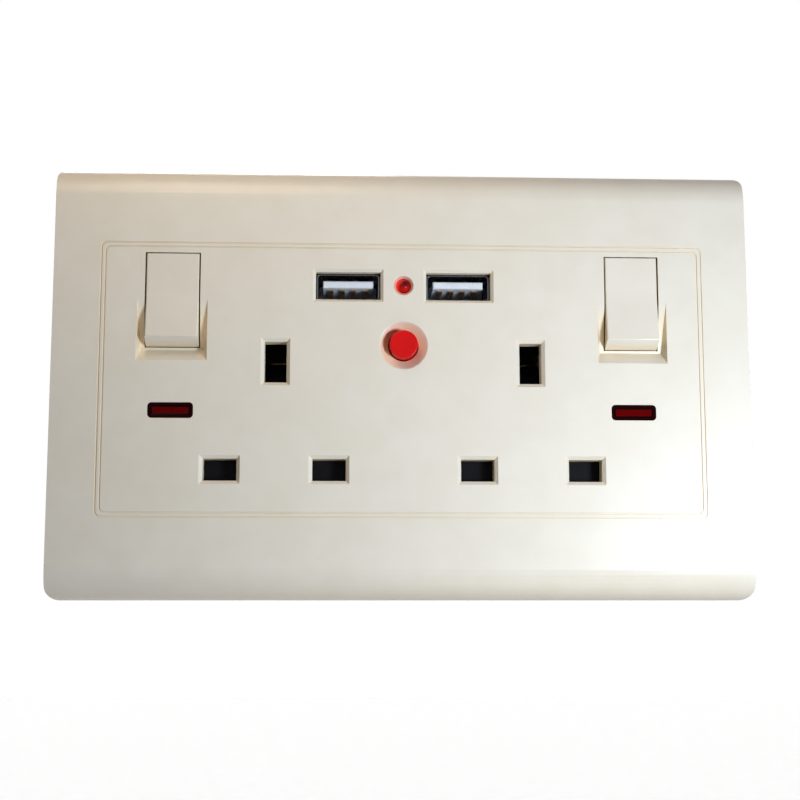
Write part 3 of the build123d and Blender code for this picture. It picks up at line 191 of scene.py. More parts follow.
class WallSocketColours(bpy.types.PropertyGroup):
    """Colours of the finishes"""

    plate: colour("Plate", "Ivory of the front cover and the rockers", (0.80, 0.75, 0.66))
    plate_shade: colour("Plate Shade", "Darker cloud in the ivory", (0.77, 0.715, 0.615))
    button: colour("Button", "Red of the push button", (0.74, 0.005, 0.006))
    led: colour("LED", "Red of the LED's epoxy", (0.50, 0.004, 0.004))
    led_cup: colour("LED Cup", "Dark of the die cup seen through the epoxy", (0.070, 0.0005, 0.003))
    neon_frame: colour(
        "Neon Frame", "Red of the neon lens over its thick rim", (0.018, 0.0002, 0.0008)
    )
    neon_slope: colour(
        "Neon Slope", "Tone of the slope between rim and field", (0.006, 0.0004, 0.0008)
    )
    neon_field: colour("Neon Field", "Red of the neon lens over the lamp", (0.125, 0.0003, 0.0008))
    # Painted red light: the tints that the LED and the button throw on their dishes
    led_painted_glow: colour("LED Blush", "Tint of the dish round the LED", (0.90, 0.55, 0.56))
    button_painted_glow: colour("Button Blush", "Tint of the dish round the button", (1.0, 0.84, 0.81))
    # Painted shade: the dark laid over narrow gaps, over a warm shade painted into hollows
    painted_gap_shade: colour(
        "Crevice", "Shade that gathers in the narrow gaps of the ivory", (0.010, 0.006, 0.005)
    )
    inner_plastic: colour(
        "Inner Plastic", "Black of the frame, housing and shutters", (0.010, 0.010, 0.012)
    )
    brass: colour("Brass", "Pressed and turned brass", (0.70, 0.46, 0.18))
    # Painted shade: the sheet's tone is darkened for the shade inside the USB ports
    steel_in_painted_shade: colour("Steel", "Nickel plated sheet", (0.13, 0.14, 0.16))


class WallSocketStudio(bpy.types.PropertyGroup):
    """Camera and lamps"""

    lens: FloatProperty(
        name="Lens",
        description="Focal length of the camera",
        default=65.83,
        min=10.0,
        unit="CAMERA",
    )
    key_power: lamp_power("Key Power", "Power of the main lamp at the lower right", 0.502)
    fill_power: lamp_power("Fill Power", "Power of the soft lamp above", 0.076)
    low_power: lamp_power("Low Power", "Power of the warm lamp below", 0.022)
    back_power: lamp_power("Back Power", "Power of the lamp behind, for views of the back", 0.9)
    surround: FloatProperty(
        name="Surround",
        description="Strength of the even light from all round",
        default=0.012,
        min=0.0,
    )


def middle_of(node):
    """The middle of a CAD node's box."""
    low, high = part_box(node)
    return (Vector(low) + Vector(high)) / 2


def hole_centres():
    """Places along X where the holes of the cover have their middles."""
    places = [0.0]
    for node in ("usb_tongue", "neon_lens", "shutter_spring"):
        places += [middle_of(f"{node}_{side}").x for side in SIDES]
    for side in SIDES:
        socket_x = middle_of(f"shutter_{side}").x
        places += [socket_x - HALF_SPREAD, socket_x, socket_x + HALF_SPREAD]
    return sorted(set(places))


def deselect():
    """Leave nothing selected."""
    bpy.ops.object.select_all(action="DESELECT")


def pick(piece):
    """Select one object alone and make it active."""
    deselect()
    piece.select_set(True)
    bpy.context.view_layer.objects.active = piece


def break_edges(piece, radius):
    """Round a piece's edges and keep its flat faces flat."""
    pick(piece)
    bpy.ops.object.modifier_add(type="BEVEL")
    bevel = piece.modifiers[-1]
    bevel.width = radius
    bevel.segments = bpy.context.scene.wall_socket_sizes.edge_segments
    bevel.limit_method = "ANGLE"
    bevel.angle_limit = ROUNDED_EDGE
    bevel.miter_outer = "MITER_ARC"
    bpy.ops.object.modifier_apply(modifier=bevel.name)
    bpy.ops.object.shade_smooth_by_angle(angle=SHARP_EDGE)
    bpy.ops.object.modifier_add(type="WEIGHTED_NORMAL")
    weighted = piece.modifiers[-1]
    weighted.keep_sharp = True
    bpy.ops.object.modifier_apply(modifier=weighted.name)


def split_faces(places):
    """Cut the mesh across X at each place and mark the cuts, so that no face rings a hole."""
    for x in places:
        bpy.ops.mesh.select_all(action="SELECT")
        bpy.ops.mesh.bisect(plane_co=(x, 0.0, 0.0), plane_no=(1.0, 0.0, 0.0))
        bpy.ops.mesh.mark_seam()


def dressed_copy(node, name, radius, cuts=()):
    """A copy of a CAD node, its faces merged and its edges rounded, that stands for the node."""
    pick(frame["nodes"][node])
    bpy.ops.object.duplicate()
    piece = bpy.context.active_object
    piece.name = name
    bpy.ops.object.parent_clear(type="CLEAR_KEEP_TRANSFORM")
    bpy.ops.object.transform_apply(location=True, rotation=True, scale=True)
    bpy.ops.object.mode_set(mode="EDIT")
    bpy.ops.mesh.select_all(action="SELECT")
    bpy.ops.mesh.remove_doubles(threshold=SAME_POINT)
    split_faces(cuts)
    bpy.ops.mesh.select_all(action="SELECT")
    bpy.ops.mesh.dissolve_limited(angle_limit=SAME_FACE, delimit={"NORMAL", "SEAM"})
    bpy.ops.object.mode_set(mode="OBJECT")
    bpy.ops.mesh.customdata_custom_splitnormals_clear()
    break_edges(piece, radius)
    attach(piece, BODY_OF[node])
    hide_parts(node)
    return piece


def sink_field(lens, rim_width, slope_width, depth):
    """Inset the lens's front twice, so that its rim, slope and field take slots of their own."""
    pick(lens)
    front_y = min(vertex.co.y for vertex in lens.data.vertices)
    bpy.ops.object.mode_set(mode="EDIT")
    bpy.ops.mesh.select_mode(type="FACE")
    bpy.ops.mesh.select_all(action="DESELECT")
    bpy.ops.object.mode_set(mode="OBJECT")
    for face in lens.data.polygons:
        face.select = abs(face.center.y - front_y) < FRONT_SLACK
    bpy.ops.object.mode_set(mode="EDIT")
    for slot, (width, sink) in enumerate(((rim_width, 0.0), (slope_width, -depth)), start=1):
        bpy.ops.mesh.inset(thickness=width, depth=sink)
        bpy.ops.mesh.remove_doubles(threshold=CORNER_SHARE * width)
        lens.active_material_index = slot
        bpy.ops.object.material_slot_assign()
    bpy.ops.object.mode_set(mode="OBJECT")
    bpy.ops.mesh.customdata_custom_splitnormals_clear()
    bpy.ops.object.shade_smooth_by_angle(angle=LENS_SHARP_EDGE)


def paint(piece, *materials):
    """Give a piece its materials, one in each slot."""
    piece.data.materials.clear()
    for material in materials:
        piece.data.materials.append(material)


def finish_with(material, *nodes):
    """Give CAD nodes that keep their own shape a better material."""
    for node in nodes:
        for place in frame["nodes"][node].material_slots:
            place.material = material


def new_material(name):
    """An empty material, its shader and its object coordinates."""
    material = bpy.data.materials.new(name)
    material.use_nodes = True
    nodes = material.node_tree.nodes
    nodes.clear()
    output = nodes.new("ShaderNodeOutputMaterial")
    shader = nodes.new("ShaderNodeBsdfPrincipled")
    place = nodes.new("ShaderNodeTexCoord")
    material.node_tree.links.new(shader.outputs["BSDF"], output.inputs["Surface"])
    return material, shader, place.outputs["Object"]


def noise(material, coordinates, scale, detail=CLOUD_DETAIL, stretch=EVEN):
    """Noise on object coordinates, drawn out along an axis if stretch says so."""
    nodes, links = material.node_tree.nodes, material.node_tree.links
    if stretch != EVEN:
        mapping = nodes.new("ShaderNodeMapping")
        mapping.inputs["Scale"].default_value = stretch
        links.new(coordinates, mapping.inputs["Vector"])
        coordinates = mapping.outputs["Vector"]
    texture = nodes.new("ShaderNodeTexNoise")
    texture.inputs["Scale"].default_value = scale
    texture.inputs["Detail"].default_value = detail
    links.new(coordinates, texture.inputs["Vector"])
    return texture.outputs["Fac"]


def between(material, factor, low, high, source=NOISE_RANGE):
    """Spread a factor from its source range over a range of numbers."""
    spread = material.node_tree.nodes.new("ShaderNodeMapRange")
    spread.inputs["From Min"].default_value = source[0]
    spread.inputs["From Max"].default_value = source[1]
    spread.inputs["To Min"].default_value = low
    spread.inputs["To Max"].default_value = high
    material.node_tree.links.new(factor, spread.inputs["Value"])
    return spread.outputs["Result"]


def blend_colours(material, factor, first, second):
    """Mix two colours by a factor."""
    mix = material.node_tree.nodes.new("ShaderNodeMix")
    mix.data_type = "RGBA"
    mix.inputs["A"].default_value = (*first, 1.0)
    mix.inputs["B"].default_value = (*second, 1.0)
    material.node_tree.links.new(factor, mix.inputs["Factor"])
    return mix.outputs["Result"]


def lay_over(material, shader, factor, tone, blend="MIX"):
    """Lay a tone over the colour that the shader has so far."""
    links = material.node_tree.links
    mix = material.node_tree.nodes.new("ShaderNodeMix")
    mix.data_type = "RGBA"
    mix.blend_type = blend
    mix.inputs["B"].default_value = (*tone, 1.0)
    links.new(factor, mix.inputs["Factor"])
    links.new(shader.inputs["Base Color"].links[0].from_socket, mix.inputs["A"])
    links.new(mix.outputs["Result"], shader.inputs["Base Color"])


def shade_hollows(material, shader, tone, reach, openness, blend="MIX"):
    """Paint shade: lay a tone over the places that are closed in within the reach."""
    probe = material.node_tree.nodes.new("ShaderNodeAmbientOcclusion")
    probe.inputs["Distance"].default_value = reach
    closed = between(material, probe.outputs["AO"], 1.0, 0.0, openness)
    lay_over(material, shader, closed, tone, blend)


def from_axis(material, coordinates, x, z):
    """Distance from the axis that runs along Y at x and z."""
    nodes, links = material.node_tree.nodes, material.node_tree.links
    across = nodes.new("ShaderNodeMapping")
    across.inputs["Location"].default_value = (-x, 0.0, -z)
    across.inputs["Scale"].default_value = (1.0, 0.0, 1.0)
    links.new(coordinates, across.inputs["Vector"])
    away = nodes.new("ShaderNodeVectorMath")
    away.operation = "LENGTH"
    links.new(across.outputs["Vector"], away.inputs[0])
    return away.outputs["Value"]


def paint_reflected_red(material, shader, coordinates, node, radius, tone):
    """Paint on a dish the red light that the node in it throws on its wall."""
    middle = middle_of(node)
    away = from_axis(material, coordinates, middle.x, middle.z)
    inside = between(material, away, 1.0, 0.0, (GLOW_FADE * radius, radius))
    lay_over(material, shader, inside, tone, "MULTIPLY")


def bump(material, shader, height, depth):
    """Raise the surface by a height texture."""
    node = material.node_tree.nodes.new("ShaderNodeBump")
    node.inputs["Distance"].default_value = depth
    node.inputs["Strength"].default_value = 1.0
    material.node_tree.links.new(height, node.inputs["Height"])
    material.node_tree.links.new(node.outputs["Normal"], shader.inputs["Normal"])


def surface(
    name,
    first,
    second,
    cloud,
    rough,
    grain=2500.0,
    depth=0.01 * MM,
    stretch=EVEN,
    painted_gap_shade=None,
    red_glow_dishes=(),
    **sockets,
):
    """A finish that drifts between two tones, with a grain and a range of roughness.

    painted_gap_shade is the tone of the shade painted into narrow gaps, over a warm shade painted
    into hollows; red_glow_dishes are the (node, radius, tone) of dishes with painted red light, and
    sockets are numbers for the shader's other inputs.
    """
    material, shader, place = new_material(name)
    links = material.node_tree.links
    clouds = between(material, noise(material, place, cloud), 0.0, 1.0)
    links.new(blend_colours(material, clouds, first, second), shader.inputs["Base Color"])
    # Painted shade: a warm tone in hollows, then a dark tone in narrow gaps
    if painted_gap_shade:
        shade_hollows(
            material, shader, PAINTED_HOLLOW_SHADE, HOLLOW_REACH, HOLLOW_OPENNESS, blend="MULTIPLY"
        )
        shade_hollows(material, shader, painted_gap_shade, GAP_REACH, GAP_OPENNESS)
    # Painted red light on the dishes
    for dish in red_glow_dishes:
        paint_reflected_red(material, shader, place, *dish)
    fine = noise(material, place, grain, GRAIN_DETAIL, stretch)
    links.new(between(material, fine, *rough), shader.inputs["Roughness"])
    bump(material, shader, fine, depth)
    for socket, value in sockets.items():
        shader.inputs[socket.replace("_", " ")].default_value = value
    return material


def shade(tone, share):
    """A tone made lighter or darker by a share."""
    return tuple(min(1.0, channel * share) for channel in tone)


def metal(name, tone, rough, grain, depth, stretch=EVEN):
    """Bare or plated metal with faint drawing lines or tumbling marks."""
    return surface(
        name,
        tone,
        shade(tone, METAL_SHADE),
        cloud=METAL_CLOUD,
        rough=rough,
        grain=grain,
        depth=depth,
        stretch=stretch,
        Metallic=1.0,
    )


def zone_red(name, tone):
    """Dark red plastic for one zone of a neon lens."""
    return surface(
        name,
        tone,
        shade(tone, 0.8),
        cloud=900.0,
        rough=(0.12, 0.22),
        grain=1800.0,
        depth=0.003 * MM,
        Specular_IOR_Level=0.02,
    )


class WALLSOCKET_OT_front_cover(bpy.types.Operator):
    """Finish the ivory front cover"""

    bl_idname = "wall_socket.front_cover"
    bl_label = "Front Cover"
    bl_options = {"REGISTER", "UNDO"}

    def execute(self, context):
        sizes = context.scene.wall_socket_sizes
        colours = context.scene.wall_socket_colours
        ivory = surface(
            "pearl ivory plastic",
            tuple(colours.plate),
            tuple(colours.plate_shade),
            cloud=160.0,
            rough=(0.34, 0.42),
            grain=5200.0,
            depth=0.003 * MM,
            # Painted shade in the gaps and hollows of the cover
            painted_gap_shade=tuple(colours.painted_gap_shade),
            # Painted red light that the LED and the button throw on their dishes
            red_glow_dishes=(
                ("indicator_led", sizes.led_dish, tuple(colours.led_painted_glow)),
                ("button_cap", sizes.button_dish, tuple(colours.button_painted_glow)),
            ),
            Specular_IOR_Level=0.5,
            Coat_Weight=0.25,
            Coat_Roughness=0.28,
        )
        cover = dressed_copy("front_cover", "cover_moulding", sizes.moulded_edge, hole_centres())
        paint(cover, ivory)
        return {"FINISHED"}


class WALLSOCKET_OT_rockers(bpy.types.Operator):
    """Finish the two rockers and their plungers"""

    bl_idname = "wall_socket.rockers"
    bl_label = "Rockers"
    bl_options = {"REGISTER", "UNDO"}

    def execute(self, context):
        sizes = context.scene.wall_socket_sizes
        colours = context.scene.wall_socket_colours
        ivory = surface(
            "rocker ivory plastic",
            tuple(colours.plate),
            tuple(colours.plate_shade),
            cloud=140.0,
            rough=(0.30, 0.38),
            grain=5200.0,
            depth=0.002 * MM,
            # Painted shade in the gaps and hollows of the rockers
            painted_gap_shade=tuple(colours.painted_gap_shade),
            Coat_Weight=0.2,
            Coat_Roughness=0.25,
        )
        nylon = surface(
            "natural nylon",
            (0.70, 0.68, 0.60),
            (0.62, 0.60, 0.52),
            cloud=300.0,
            rough=(0.35, 0.5),
        )
        for side in SIDES:
            paint(dressed_copy(f"rocker_{side}", f"rocker_key_{side}", sizes.fine_edge), ivory)
            finish_with(nylon, f"rocker_plunger_{side}")
        return {"FINISHED"}


class WALLSOCKET_OT_neon_windows(bpy.types.Operator):
    """Finish the red neon lenses, the lamps and their resistors"""

    bl_idname = "wall_socket.neon_windows"
    bl_label = "Neon Windows"
    bl_options = {"REGISTER", "UNDO"}

    def execute(self, context):
        sizes = context.scene.wall_socket_sizes
        colours = context.scene.wall_socket_colours
        glass, shader, place = new_material("lamp glass")
        glass.node_tree.links.new(
            between(glass, noise(glass, place, 900.0), 0.02, 0.12), shader.inputs["Roughness"]
        )
        shader.inputs["Base Color"].default_value = (0.95, 0.92, 0.88, 1.0)
        shader.inputs["Transmission Weight"].default_value = 1.0
        lacquer = surface(
            "tan lacquer",
            (0.55, 0.38, 0.20),
            (0.45, 0.30, 0.15),
            cloud=400.0,
            rough=(0.3, 0.45),
        )
        zones = (
            zone_red("neon rim red", tuple(colours.neon_frame)),
            zone_red("neon slope red", tuple(colours.neon_slope)),
            zone_red("neon field red", tuple(colours.neon_field)),
        )
        for side in SIDES:
            lens = dressed_copy(f"neon_lens_{side}", f"neon_window_{side}", sizes.fine_edge)
            paint(lens, *zones)
            sink_field(lens, sizes.neon_rim, sizes.neon_slope, sizes.neon_depth)
            finish_with(glass, f"neon_lamp_{side}")
            finish_with(lacquer, f"neon_resistor_{side}")
        return {"FINISHED"}


class WALLSOCKET_OT_push_button(bpy.types.Operator):
    """Finish the red push button"""

    bl_idname = "wall_socket.push_button"
    bl_label = "Push Button"
    bl_options = {"REGISTER", "UNDO"}

    def execute(self, context):
        sizes = context.scene.wall_socket_sizes
        colours = context.scene.wall_socket_colours
        red = surface(
            "button red plastic",
            tuple(colours.button),
            shade(colours.button, 0.86),
            cloud=220.0,
            rough=(0.26, 0.36),
            grain=4200.0,
            depth=0.003 * MM,
            Specular_IOR_Level=0.18,
        )
        paint(dressed_copy("button_cap", "button_key", sizes.fine_edge), red)
        return {"FINISHED"}


class WALLSOCKET_OT_indicator_led(bpy.types.Operator):
    """Finish the LED, whose die cup shows through the epoxy and which has a painted glow"""

    bl_idname = "wall_socket.indicator_led"
    bl_label = "Indicator LED"
    bl_options = {"REGISTER", "UNDO"}

    def execute(self, context):
        sizes = context.scene.wall_socket_sizes
        colours = context.scene.wall_socket_colours
        epoxy, shader, place = new_material("red epoxy")
        nodes, links = epoxy.node_tree.nodes, epoxy.node_tree.links

        middle = middle_of("indicator_led")
        cup = sizes.led_cup
        away = from_axis(
            epoxy, place, middle.x + CUP_PLACE[0] * cup, middle.z + CUP_PLACE[1] * cup
        )
        past_cup = between(epoxy, away, 0.0, 1.0, (CUP_FADE[0] * cup, CUP_FADE[1] * cup))
        links.new(
            blend_colours(epoxy, past_cup, tuple(colours.led_cup), tuple(colours.led)),
            shader.inputs["Base Color"],
        )
        links.new(
            between(epoxy, noise(epoxy, place, 1500.0), 0.18, 0.26), shader.inputs["Roughness"]
        )

        # Painted glow: emission by the slope of the surface, standing for lamplight gathered in the
        # epoxy
        slope = nodes.new("ShaderNodeVectorMath")
        slope.operation = "DOT_PRODUCT"
        slope.inputs[1].default_value = PAINTED_GLOW_WAY
        links.new(place.node.outputs["Normal"], slope.inputs[0])
        links.new(
            between(epoxy, slope.outputs["Value"], 0.0, PAINTED_GLOW_STRENGTH, PAINTED_GLOW_SLOPES),
            shader.inputs["Emission Strength"],
        )
        shader.inputs["Emission Color"].default_value = PAINTED_GLOW_RED
        shader.inputs["IOR"].default_value = EPOXY_IOR
        shader.inputs["Specular IOR Level"].default_value = 0.1
        paint(dressed_copy("indicator_led", "led_dome", sizes.sheet_edge), epoxy)
        return {"FINISHED"}


class WALLSOCKET_OT_usb_ports(bpy.types.Operator):
    """Finish the USB shells, tongues and contacts"""

    bl_idname = "wall_socket.usb_ports"
    bl_label = "USB Ports"
    bl_options = {"REGISTER", "UNDO"}

    def execute(self, context):
        sizes = context.scene.wall_socket_sizes
        colours = context.scene.wall_socket_colours
        # Painted shade: the nickel is darkened for the shade inside the ports
        nickel = metal(
            "nickel sheet",
            tuple(colours.steel_in_painted_shade),
            rough=(0.16, 0.30),
            grain=2600.0,
            depth=0.002 * MM,
            stretch=(1.0, 0.15, 1.0),
        )
        white = surface(
            "white tongue plastic",
            (0.80, 0.84, 0.90),
            (0.72, 0.77, 0.84),
            cloud=500.0,
            rough=(0.3, 0.42),
            grain=4000.0,
            depth=0.002 * MM,
        )
        # Painted shade: the gold is darkened for the shade under the tongue
        gold = metal(
            "gold flash",
            (0.42, 0.24, 0.09),
            rough=(0.12, 0.25),
            grain=3200.0,
            depth=0.001 * MM,
        )
        for side in SIDES:
            paint(dressed_copy(f"usb_shell_{side}", f"usb_can_{side}", sizes.sheet_edge), nickel)
            paint(
                dressed_copy(f"usb_tongue_{side}", f"usb_insulator_{side}", sizes.fine_edge), white
            )
            finish_with(gold, f"usb_contacts_{side}")
        return {"FINISHED"}


class WALLSOCKET_OT_frame_and_housing(bpy.types.Operator):
    """Finish the black frame, rear housing, shutters and push switch body"""

    bl_idname = "wall_socket.frame_and_housing"
    bl_label = "Frame and Housing"
    bl_options = {"REGISTER", "UNDO"}

    def execute(self, context):
        sizes = context.scene.wall_socket_sizes
        black = tuple(context.scene.wall_socket_colours.inner_plastic)
        frame_black = surface(
            "black frame plastic",
            black,
            shade(black, 1.6),
            cloud=120.0,
            rough=(0.36, 0.5),
            grain=3600.0,
            depth=0.004 * MM,
            Specular_IOR_Level=0.25,
        )
        housing_black = surface(
            "spark textured black plastic",
            shade(black, 1.5),
            shade(black, 2.4),
            cloud=70.0,
            rough=(0.48, 0.62),
            grain=2200.0,
            depth=0.02 * MM,
        )
        shutter_black = surface(
            "shutter plastic",
            shade(black, 0.3),
            shade(black, 0.5),
            cloud=200.0,
            rough=(0.45, 0.6),
            grain=3000.0,
            depth=0.003 * MM,
            Specular_IOR_Level=0.06,
        )
        paint(dressed_copy("mounting_frame", "frame_moulding", sizes.moulded_edge), frame_black)
        housing_edge = 2 * sizes.moulded_edge
        paint(dressed_copy("rear_housing", "housing_moulding", housing_edge), housing_black)
        for side in SIDES:
            shutter = dressed_copy(f"shutter_{side}", f"shutter_slide_{side}", sizes.fine_edge)
            paint(shutter, shutter_black)
        finish_with(shutter_black, "push_switch_body")
        return {"FINISHED"}


class WALLSOCKET_OT_brass_parts(bpy.types.Operator):
    """Finish the brass strips, bars and terminals"""

    bl_idname = "wall_socket.brass_parts"
    bl_label = "Brass Parts"
    bl_options = {"REGISTER", "UNDO"}

    def execute(self, context):
        sizes = context.scene.wall_socket_sizes
        brass = tuple(context.scene.wall_socket_colours.brass)
        rolled = metal(
            "rolled brass strip",
            brass,
            rough=(0.24, 0.38),
            grain=1800.0,
            depth=0.002 * MM,
            stretch=(0.12, 1.0, 1.0),
        )
        turned = metal(
            "turned brass",
            shade(brass, 1.05),
            rough=(0.20, 0.32),
            grain=2400.0,
            depth=0.003 * MM,
            stretch=(1.0, 1.0, 0.1),
        )
        finish_with(rolled, "live_bar", "neutral_bar", "earth_strap")
        for side in SIDES:
            finish_with(rolled, f"line_strip_{side}", f"moving_contact_{side}")
        for name in ("live", "neutral", "earth"):
            paint(dressed_copy(f"{name}_terminal", f"{name}_block", sizes.fine_edge), turned)
        return {"FINISHED"}


class WALLSOCKET_OT_charger(bpy.types.Operator):
    """Finish the charger board and what stands on it"""

    bl_idname = "wall_socket.charger"
    bl_label = "Charger"
    bl_options = {"REGISTER", "UNDO"}

    def execute(self, context):
        mask = surface(
            "green solder mask",
            (0.010, 0.13, 0.045),
            (0.008, 0.10, 0.035),
            cloud=900.0,
            rough=(0.22, 0.34),
            grain=1500.0,
        )
        ferrite = surface(
            "sintered ferrite",
            (0.035, 0.034, 0.036),
            (0.06, 0.058, 0.06),
            cloud=1200.0,
            rough=(0.5, 0.7),
            grain=3500.0,
            depth=0.02 * MM,
        )
        tape = surface(
            "yellow winding tape",
            (0.62, 0.42, 0.03),
            (0.50, 0.33, 0.02),
            cloud=600.0,
            rough=(0.2, 0.35),
            grain=1800.0,
        )
        sleeve = surface(
            "capacitor sleeve",
            (0.02, 0.025, 0.06),
            (0.03, 0.036, 0.08),
            cloud=500.0,
            rough=(0.2, 0.3),
            grain=1800.0,
        )
        insulation = surface(
            "blue insulation",
            (0.02, 0.07, 0.30),
            (0.015, 0.05, 0.22),
            cloud=800.0,
            rough=(0.35, 0.5),
            grain=2200.0,
        )
        finish_with(mask, "charger_board")
        finish_with(ferrite, "transformer_core")
        finish_with(tape, "transformer_winding")
        finish_with(sleeve, "smoothing_capacitor")
        finish_with(insulation, "charger_leads")
        return {"FINISHED"}


class WALLSOCKET_OT_fasteners(bpy.types.Operator):
    """Finish the screws and springs"""

    bl_idname = "wall_socket.fasteners"
    bl_label = "Screws and Springs"
    bl_options = {"REGISTER", "UNDO"}

    def execute(self, context):
        sizes = context.scene.wall_socket_sizes
        zinc = metal(
            "zinc plate",
            (0.62, 0.60, 0.55),
            rough=(0.26, 0.42),
            grain=2000.0,
            depth=0.003 * MM,
        )
        wire = metal(
            "spring wire",
            (0.50, 0.50, 0.52),
            rough=(0.2, 0.3),
            grain=3000.0,
            depth=0.001 * MM,
        )
        paint(dressed_copy("assembly_screws", "housing_screws", sizes.fine_edge), zinc)
        paint(dressed_copy("terminal_screws", "clamping_screws", sizes.fine_edge), zinc)
        for side in SIDES:
            finish_with(wire, f"shutter_spring_{side}", f"rocker_spring_{side}")
        return {"FINISHED"}


def area_lamp(name, place, target, size, power, tone):
    """Add a square soft lamp that faces a target."""
    bpy.ops.object.light_add(type="AREA", location=place)
    lamp = bpy.context.active_object
    lamp.name = name
    lamp.data.size = size
    lamp.data.energy = power
    lamp.data.color = tone
    lamp.rotation_euler = (Vector(target) - Vector(place)).to_track_quat("-Z", "Y").to_euler()


def seen_white(tree):
    """A factor that is one for rays from the camera, in gloss and through glass."""
    rays = tree.nodes.new("ShaderNodeLightPath")
    factor = rays.outputs["Is Camera Ray"]
    for other in ("Is Glossy Ray", "Is Transmission Ray"):
        either = tree.nodes.new("ShaderNodeMath")
        either.operation = "MAXIMUM"
        tree.links.new(factor, either.inputs[0])
        tree.links.new(rays.outputs[other], either.inputs[1])
        factor = either.outputs["Value"]
    return factor


def white_surround(strength):
    """A world that looks white and gives a little even light."""
    world = bpy.data.worlds.new("white surround")
    world.use_nodes = True
    nodes, links = world.node_tree.nodes, world.node_tree.links
    nodes.clear()
    output = nodes.new("ShaderNodeOutputWorld")
    seen = nodes.new("ShaderNodeBackground")
    seen.inputs["Color"].default_value = WHITE
    even = nodes.new("ShaderNodeBackground")
    even.inputs["Color"].default_value = SURROUND_TONE
    even.inputs["Strength"].default_value = strength
    mix = nodes.new("ShaderNodeMixShader")
    links.new(seen_white(world.node_tree), mix.inputs["Fac"])
    links.new(even.outputs["Background"], mix.inputs[1])
    links.new(seen.outputs["Background"], mix.inputs[2])
    links.new(mix.outputs["Shader"], output.inputs["Surface"])
    return world


def pale_floor_material():
    """A pale floor that the camera sees as white and that keeps its shadows."""
    pale, shader, place = new_material("pale floor")
    nodes, links = pale.node_tree.nodes, pale.node_tree.links
    to_output = shader.outputs["BSDF"].links[0].to_socket
    grain = between(pale, noise(pale, place, 40.0), 0.6, 0.75)
    links.new(grain, shader.inputs["Roughness"])
    shader.inputs["Base Color"].default_value = FLOOR_TONE
    glow = nodes.new("ShaderNodeEmission")
    glow.inputs["Color"].default_value = WHITE
    lift = nodes.new("ShaderNodeMath")
    lift.operation = "MULTIPLY"
    lift.inputs[1].default_value = FLOOR_LIFT
    links.new(seen_white(pale.node_tree), lift.inputs[0])
    links.new(lift.outputs["Value"], glow.inputs["Strength"])
    both = nodes.new("ShaderNodeAddShader")
    links.new(shader.outputs["BSDF"], both.inputs[0])
    links.new(glow.outputs["Emission"], both.inputs[1])
    links.new(both.outputs["Shader"], to_output)
    return pale


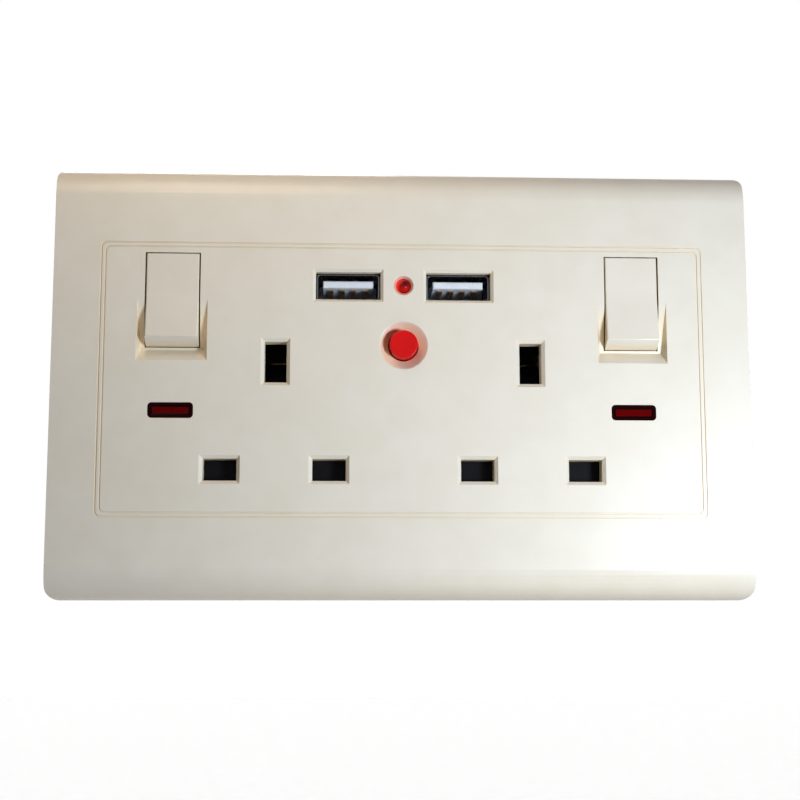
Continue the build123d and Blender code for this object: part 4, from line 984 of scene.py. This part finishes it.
class WALLSOCKET_OT_stage(bpy.types.Operator):
    """Set up the white surround, the floor, the lamps and the camera"""

    bl_idname = "wall_socket.stage"
    bl_label = "Stage"
    bl_options = {"REGISTER", "UNDO"}

    def execute(self, context):
        scene = context.scene
        studio = scene.wall_socket_studio
        scene.world = white_surround(studio.surround)

        deselect()
        bpy.ops.mesh.primitive_plane_add(size=FLOOR_SIZE, location=FLOOR_PLACE)
        floor = context.active_object
        floor.name = "floor"
        paint(floor, pale_floor_material())

        area_lamp(
            "key lamp",
            place=(0.128, -0.178, -0.047),
            target=(-0.05, -0.009, 0.0),
            size=0.045,
            power=studio.key_power,
            tone=(0.79, 0.88, 0.98),
        )
        area_lamp(
            "fill lamp",
            place=(-0.048, -0.080, 0.125),
            target=PLATE_MIDDLE,
            size=0.08,
            power=studio.fill_power,
            tone=(1.0, 0.79, 0.55),
        )
        area_lamp(
            "low lamp",
            place=(0.054, -0.077, -0.156),
            target=PLATE_MIDDLE,
            size=0.08,
            power=studio.low_power,
            tone=(1.0, 0.65, 0.12),
        )
        area_lamp(
            "back lamp",
            place=(-0.120, 0.300, 0.160),
            target=PLATE_MIDDLE,
            size=0.25,
            power=studio.back_power,
            tone=(1.0, 0.98, 0.95),
        )

        bpy.ops.object.camera_add(location=CAMERA_PLACE)
        camera = context.active_object
        camera.name = "camera"
        towards_camera = CAMERA_RIGHT.cross(CAMERA_UP)
        turn = Matrix((CAMERA_RIGHT, CAMERA_UP, towards_camera)).transposed()
        camera.rotation_mode = "QUATERNION"
        camera.rotation_quaternion = turn.to_quaternion()
        camera.data.lens = studio.lens
        camera.data.sensor_width = SENSOR_WIDTH_MM
        camera.data.clip_start = CAMERA_NEAREST
        bpy.context.scene.camera = camera
        scene.view_settings.view_transform = "Standard"
        return {"FINISHED"}


OPERATORS = (
    WALLSOCKET_OT_front_cover,
    WALLSOCKET_OT_rockers,
    WALLSOCKET_OT_neon_windows,
    WALLSOCKET_OT_push_button,
    WALLSOCKET_OT_indicator_led,
    WALLSOCKET_OT_usb_ports,
    WALLSOCKET_OT_frame_and_housing,
    WALLSOCKET_OT_brass_parts,
    WALLSOCKET_OT_charger,
    WALLSOCKET_OT_fasteners,
    WALLSOCKET_OT_stage,
)


class WALLSOCKET_PT_panel(bpy.types.Panel):
    """Panel that lists the sizes, colours, lamps and finishing steps"""

    bl_idname = "WALLSOCKET_PT_panel"
    bl_label = "Wall Socket"
    bl_space_type = "VIEW_3D"
    bl_region_type = "UI"
    bl_category = "Wall Socket"

    def draw(self, context):
        scene = context.scene
        for group in (scene.wall_socket_sizes, scene.wall_socket_colours, scene.wall_socket_studio):
            box = self.layout.box()
            for name in group.__annotations__:
                box.prop(group, name)
        for step in OPERATORS:
            self.layout.operator(step.bl_idname)


GROUPS = (WallSocketSizes, WallSocketColours, WallSocketStudio)


def register():
    """Make the settings, the steps and the panel known to Blender."""
    for kind in (*GROUPS, *OPERATORS, WALLSOCKET_PT_panel):
        bpy.utils.register_class(kind)
    bpy.types.Scene.wall_socket_sizes = PointerProperty(type=WallSocketSizes)
    bpy.types.Scene.wall_socket_colours = PointerProperty(type=WallSocketColours)
    bpy.types.Scene.wall_socket_studio = PointerProperty(type=WallSocketStudio)


def unregister():
    """Take the settings, the steps and the panel away again."""
    del bpy.types.Scene.wall_socket_studio
    del bpy.types.Scene.wall_socket_colours
    del bpy.types.Scene.wall_socket_sizes
    for kind in reversed((*GROUPS, *OPERATORS, WALLSOCKET_PT_panel)):
        bpy.utils.unregister_class(kind)


def main():
    """Run every finishing step in order."""
    register()
    for step in OPERATORS:
        group, name = step.bl_idname.split(".")
        getattr(getattr(bpy.ops, group), name)()


if __name__ == "__main__":
    main()
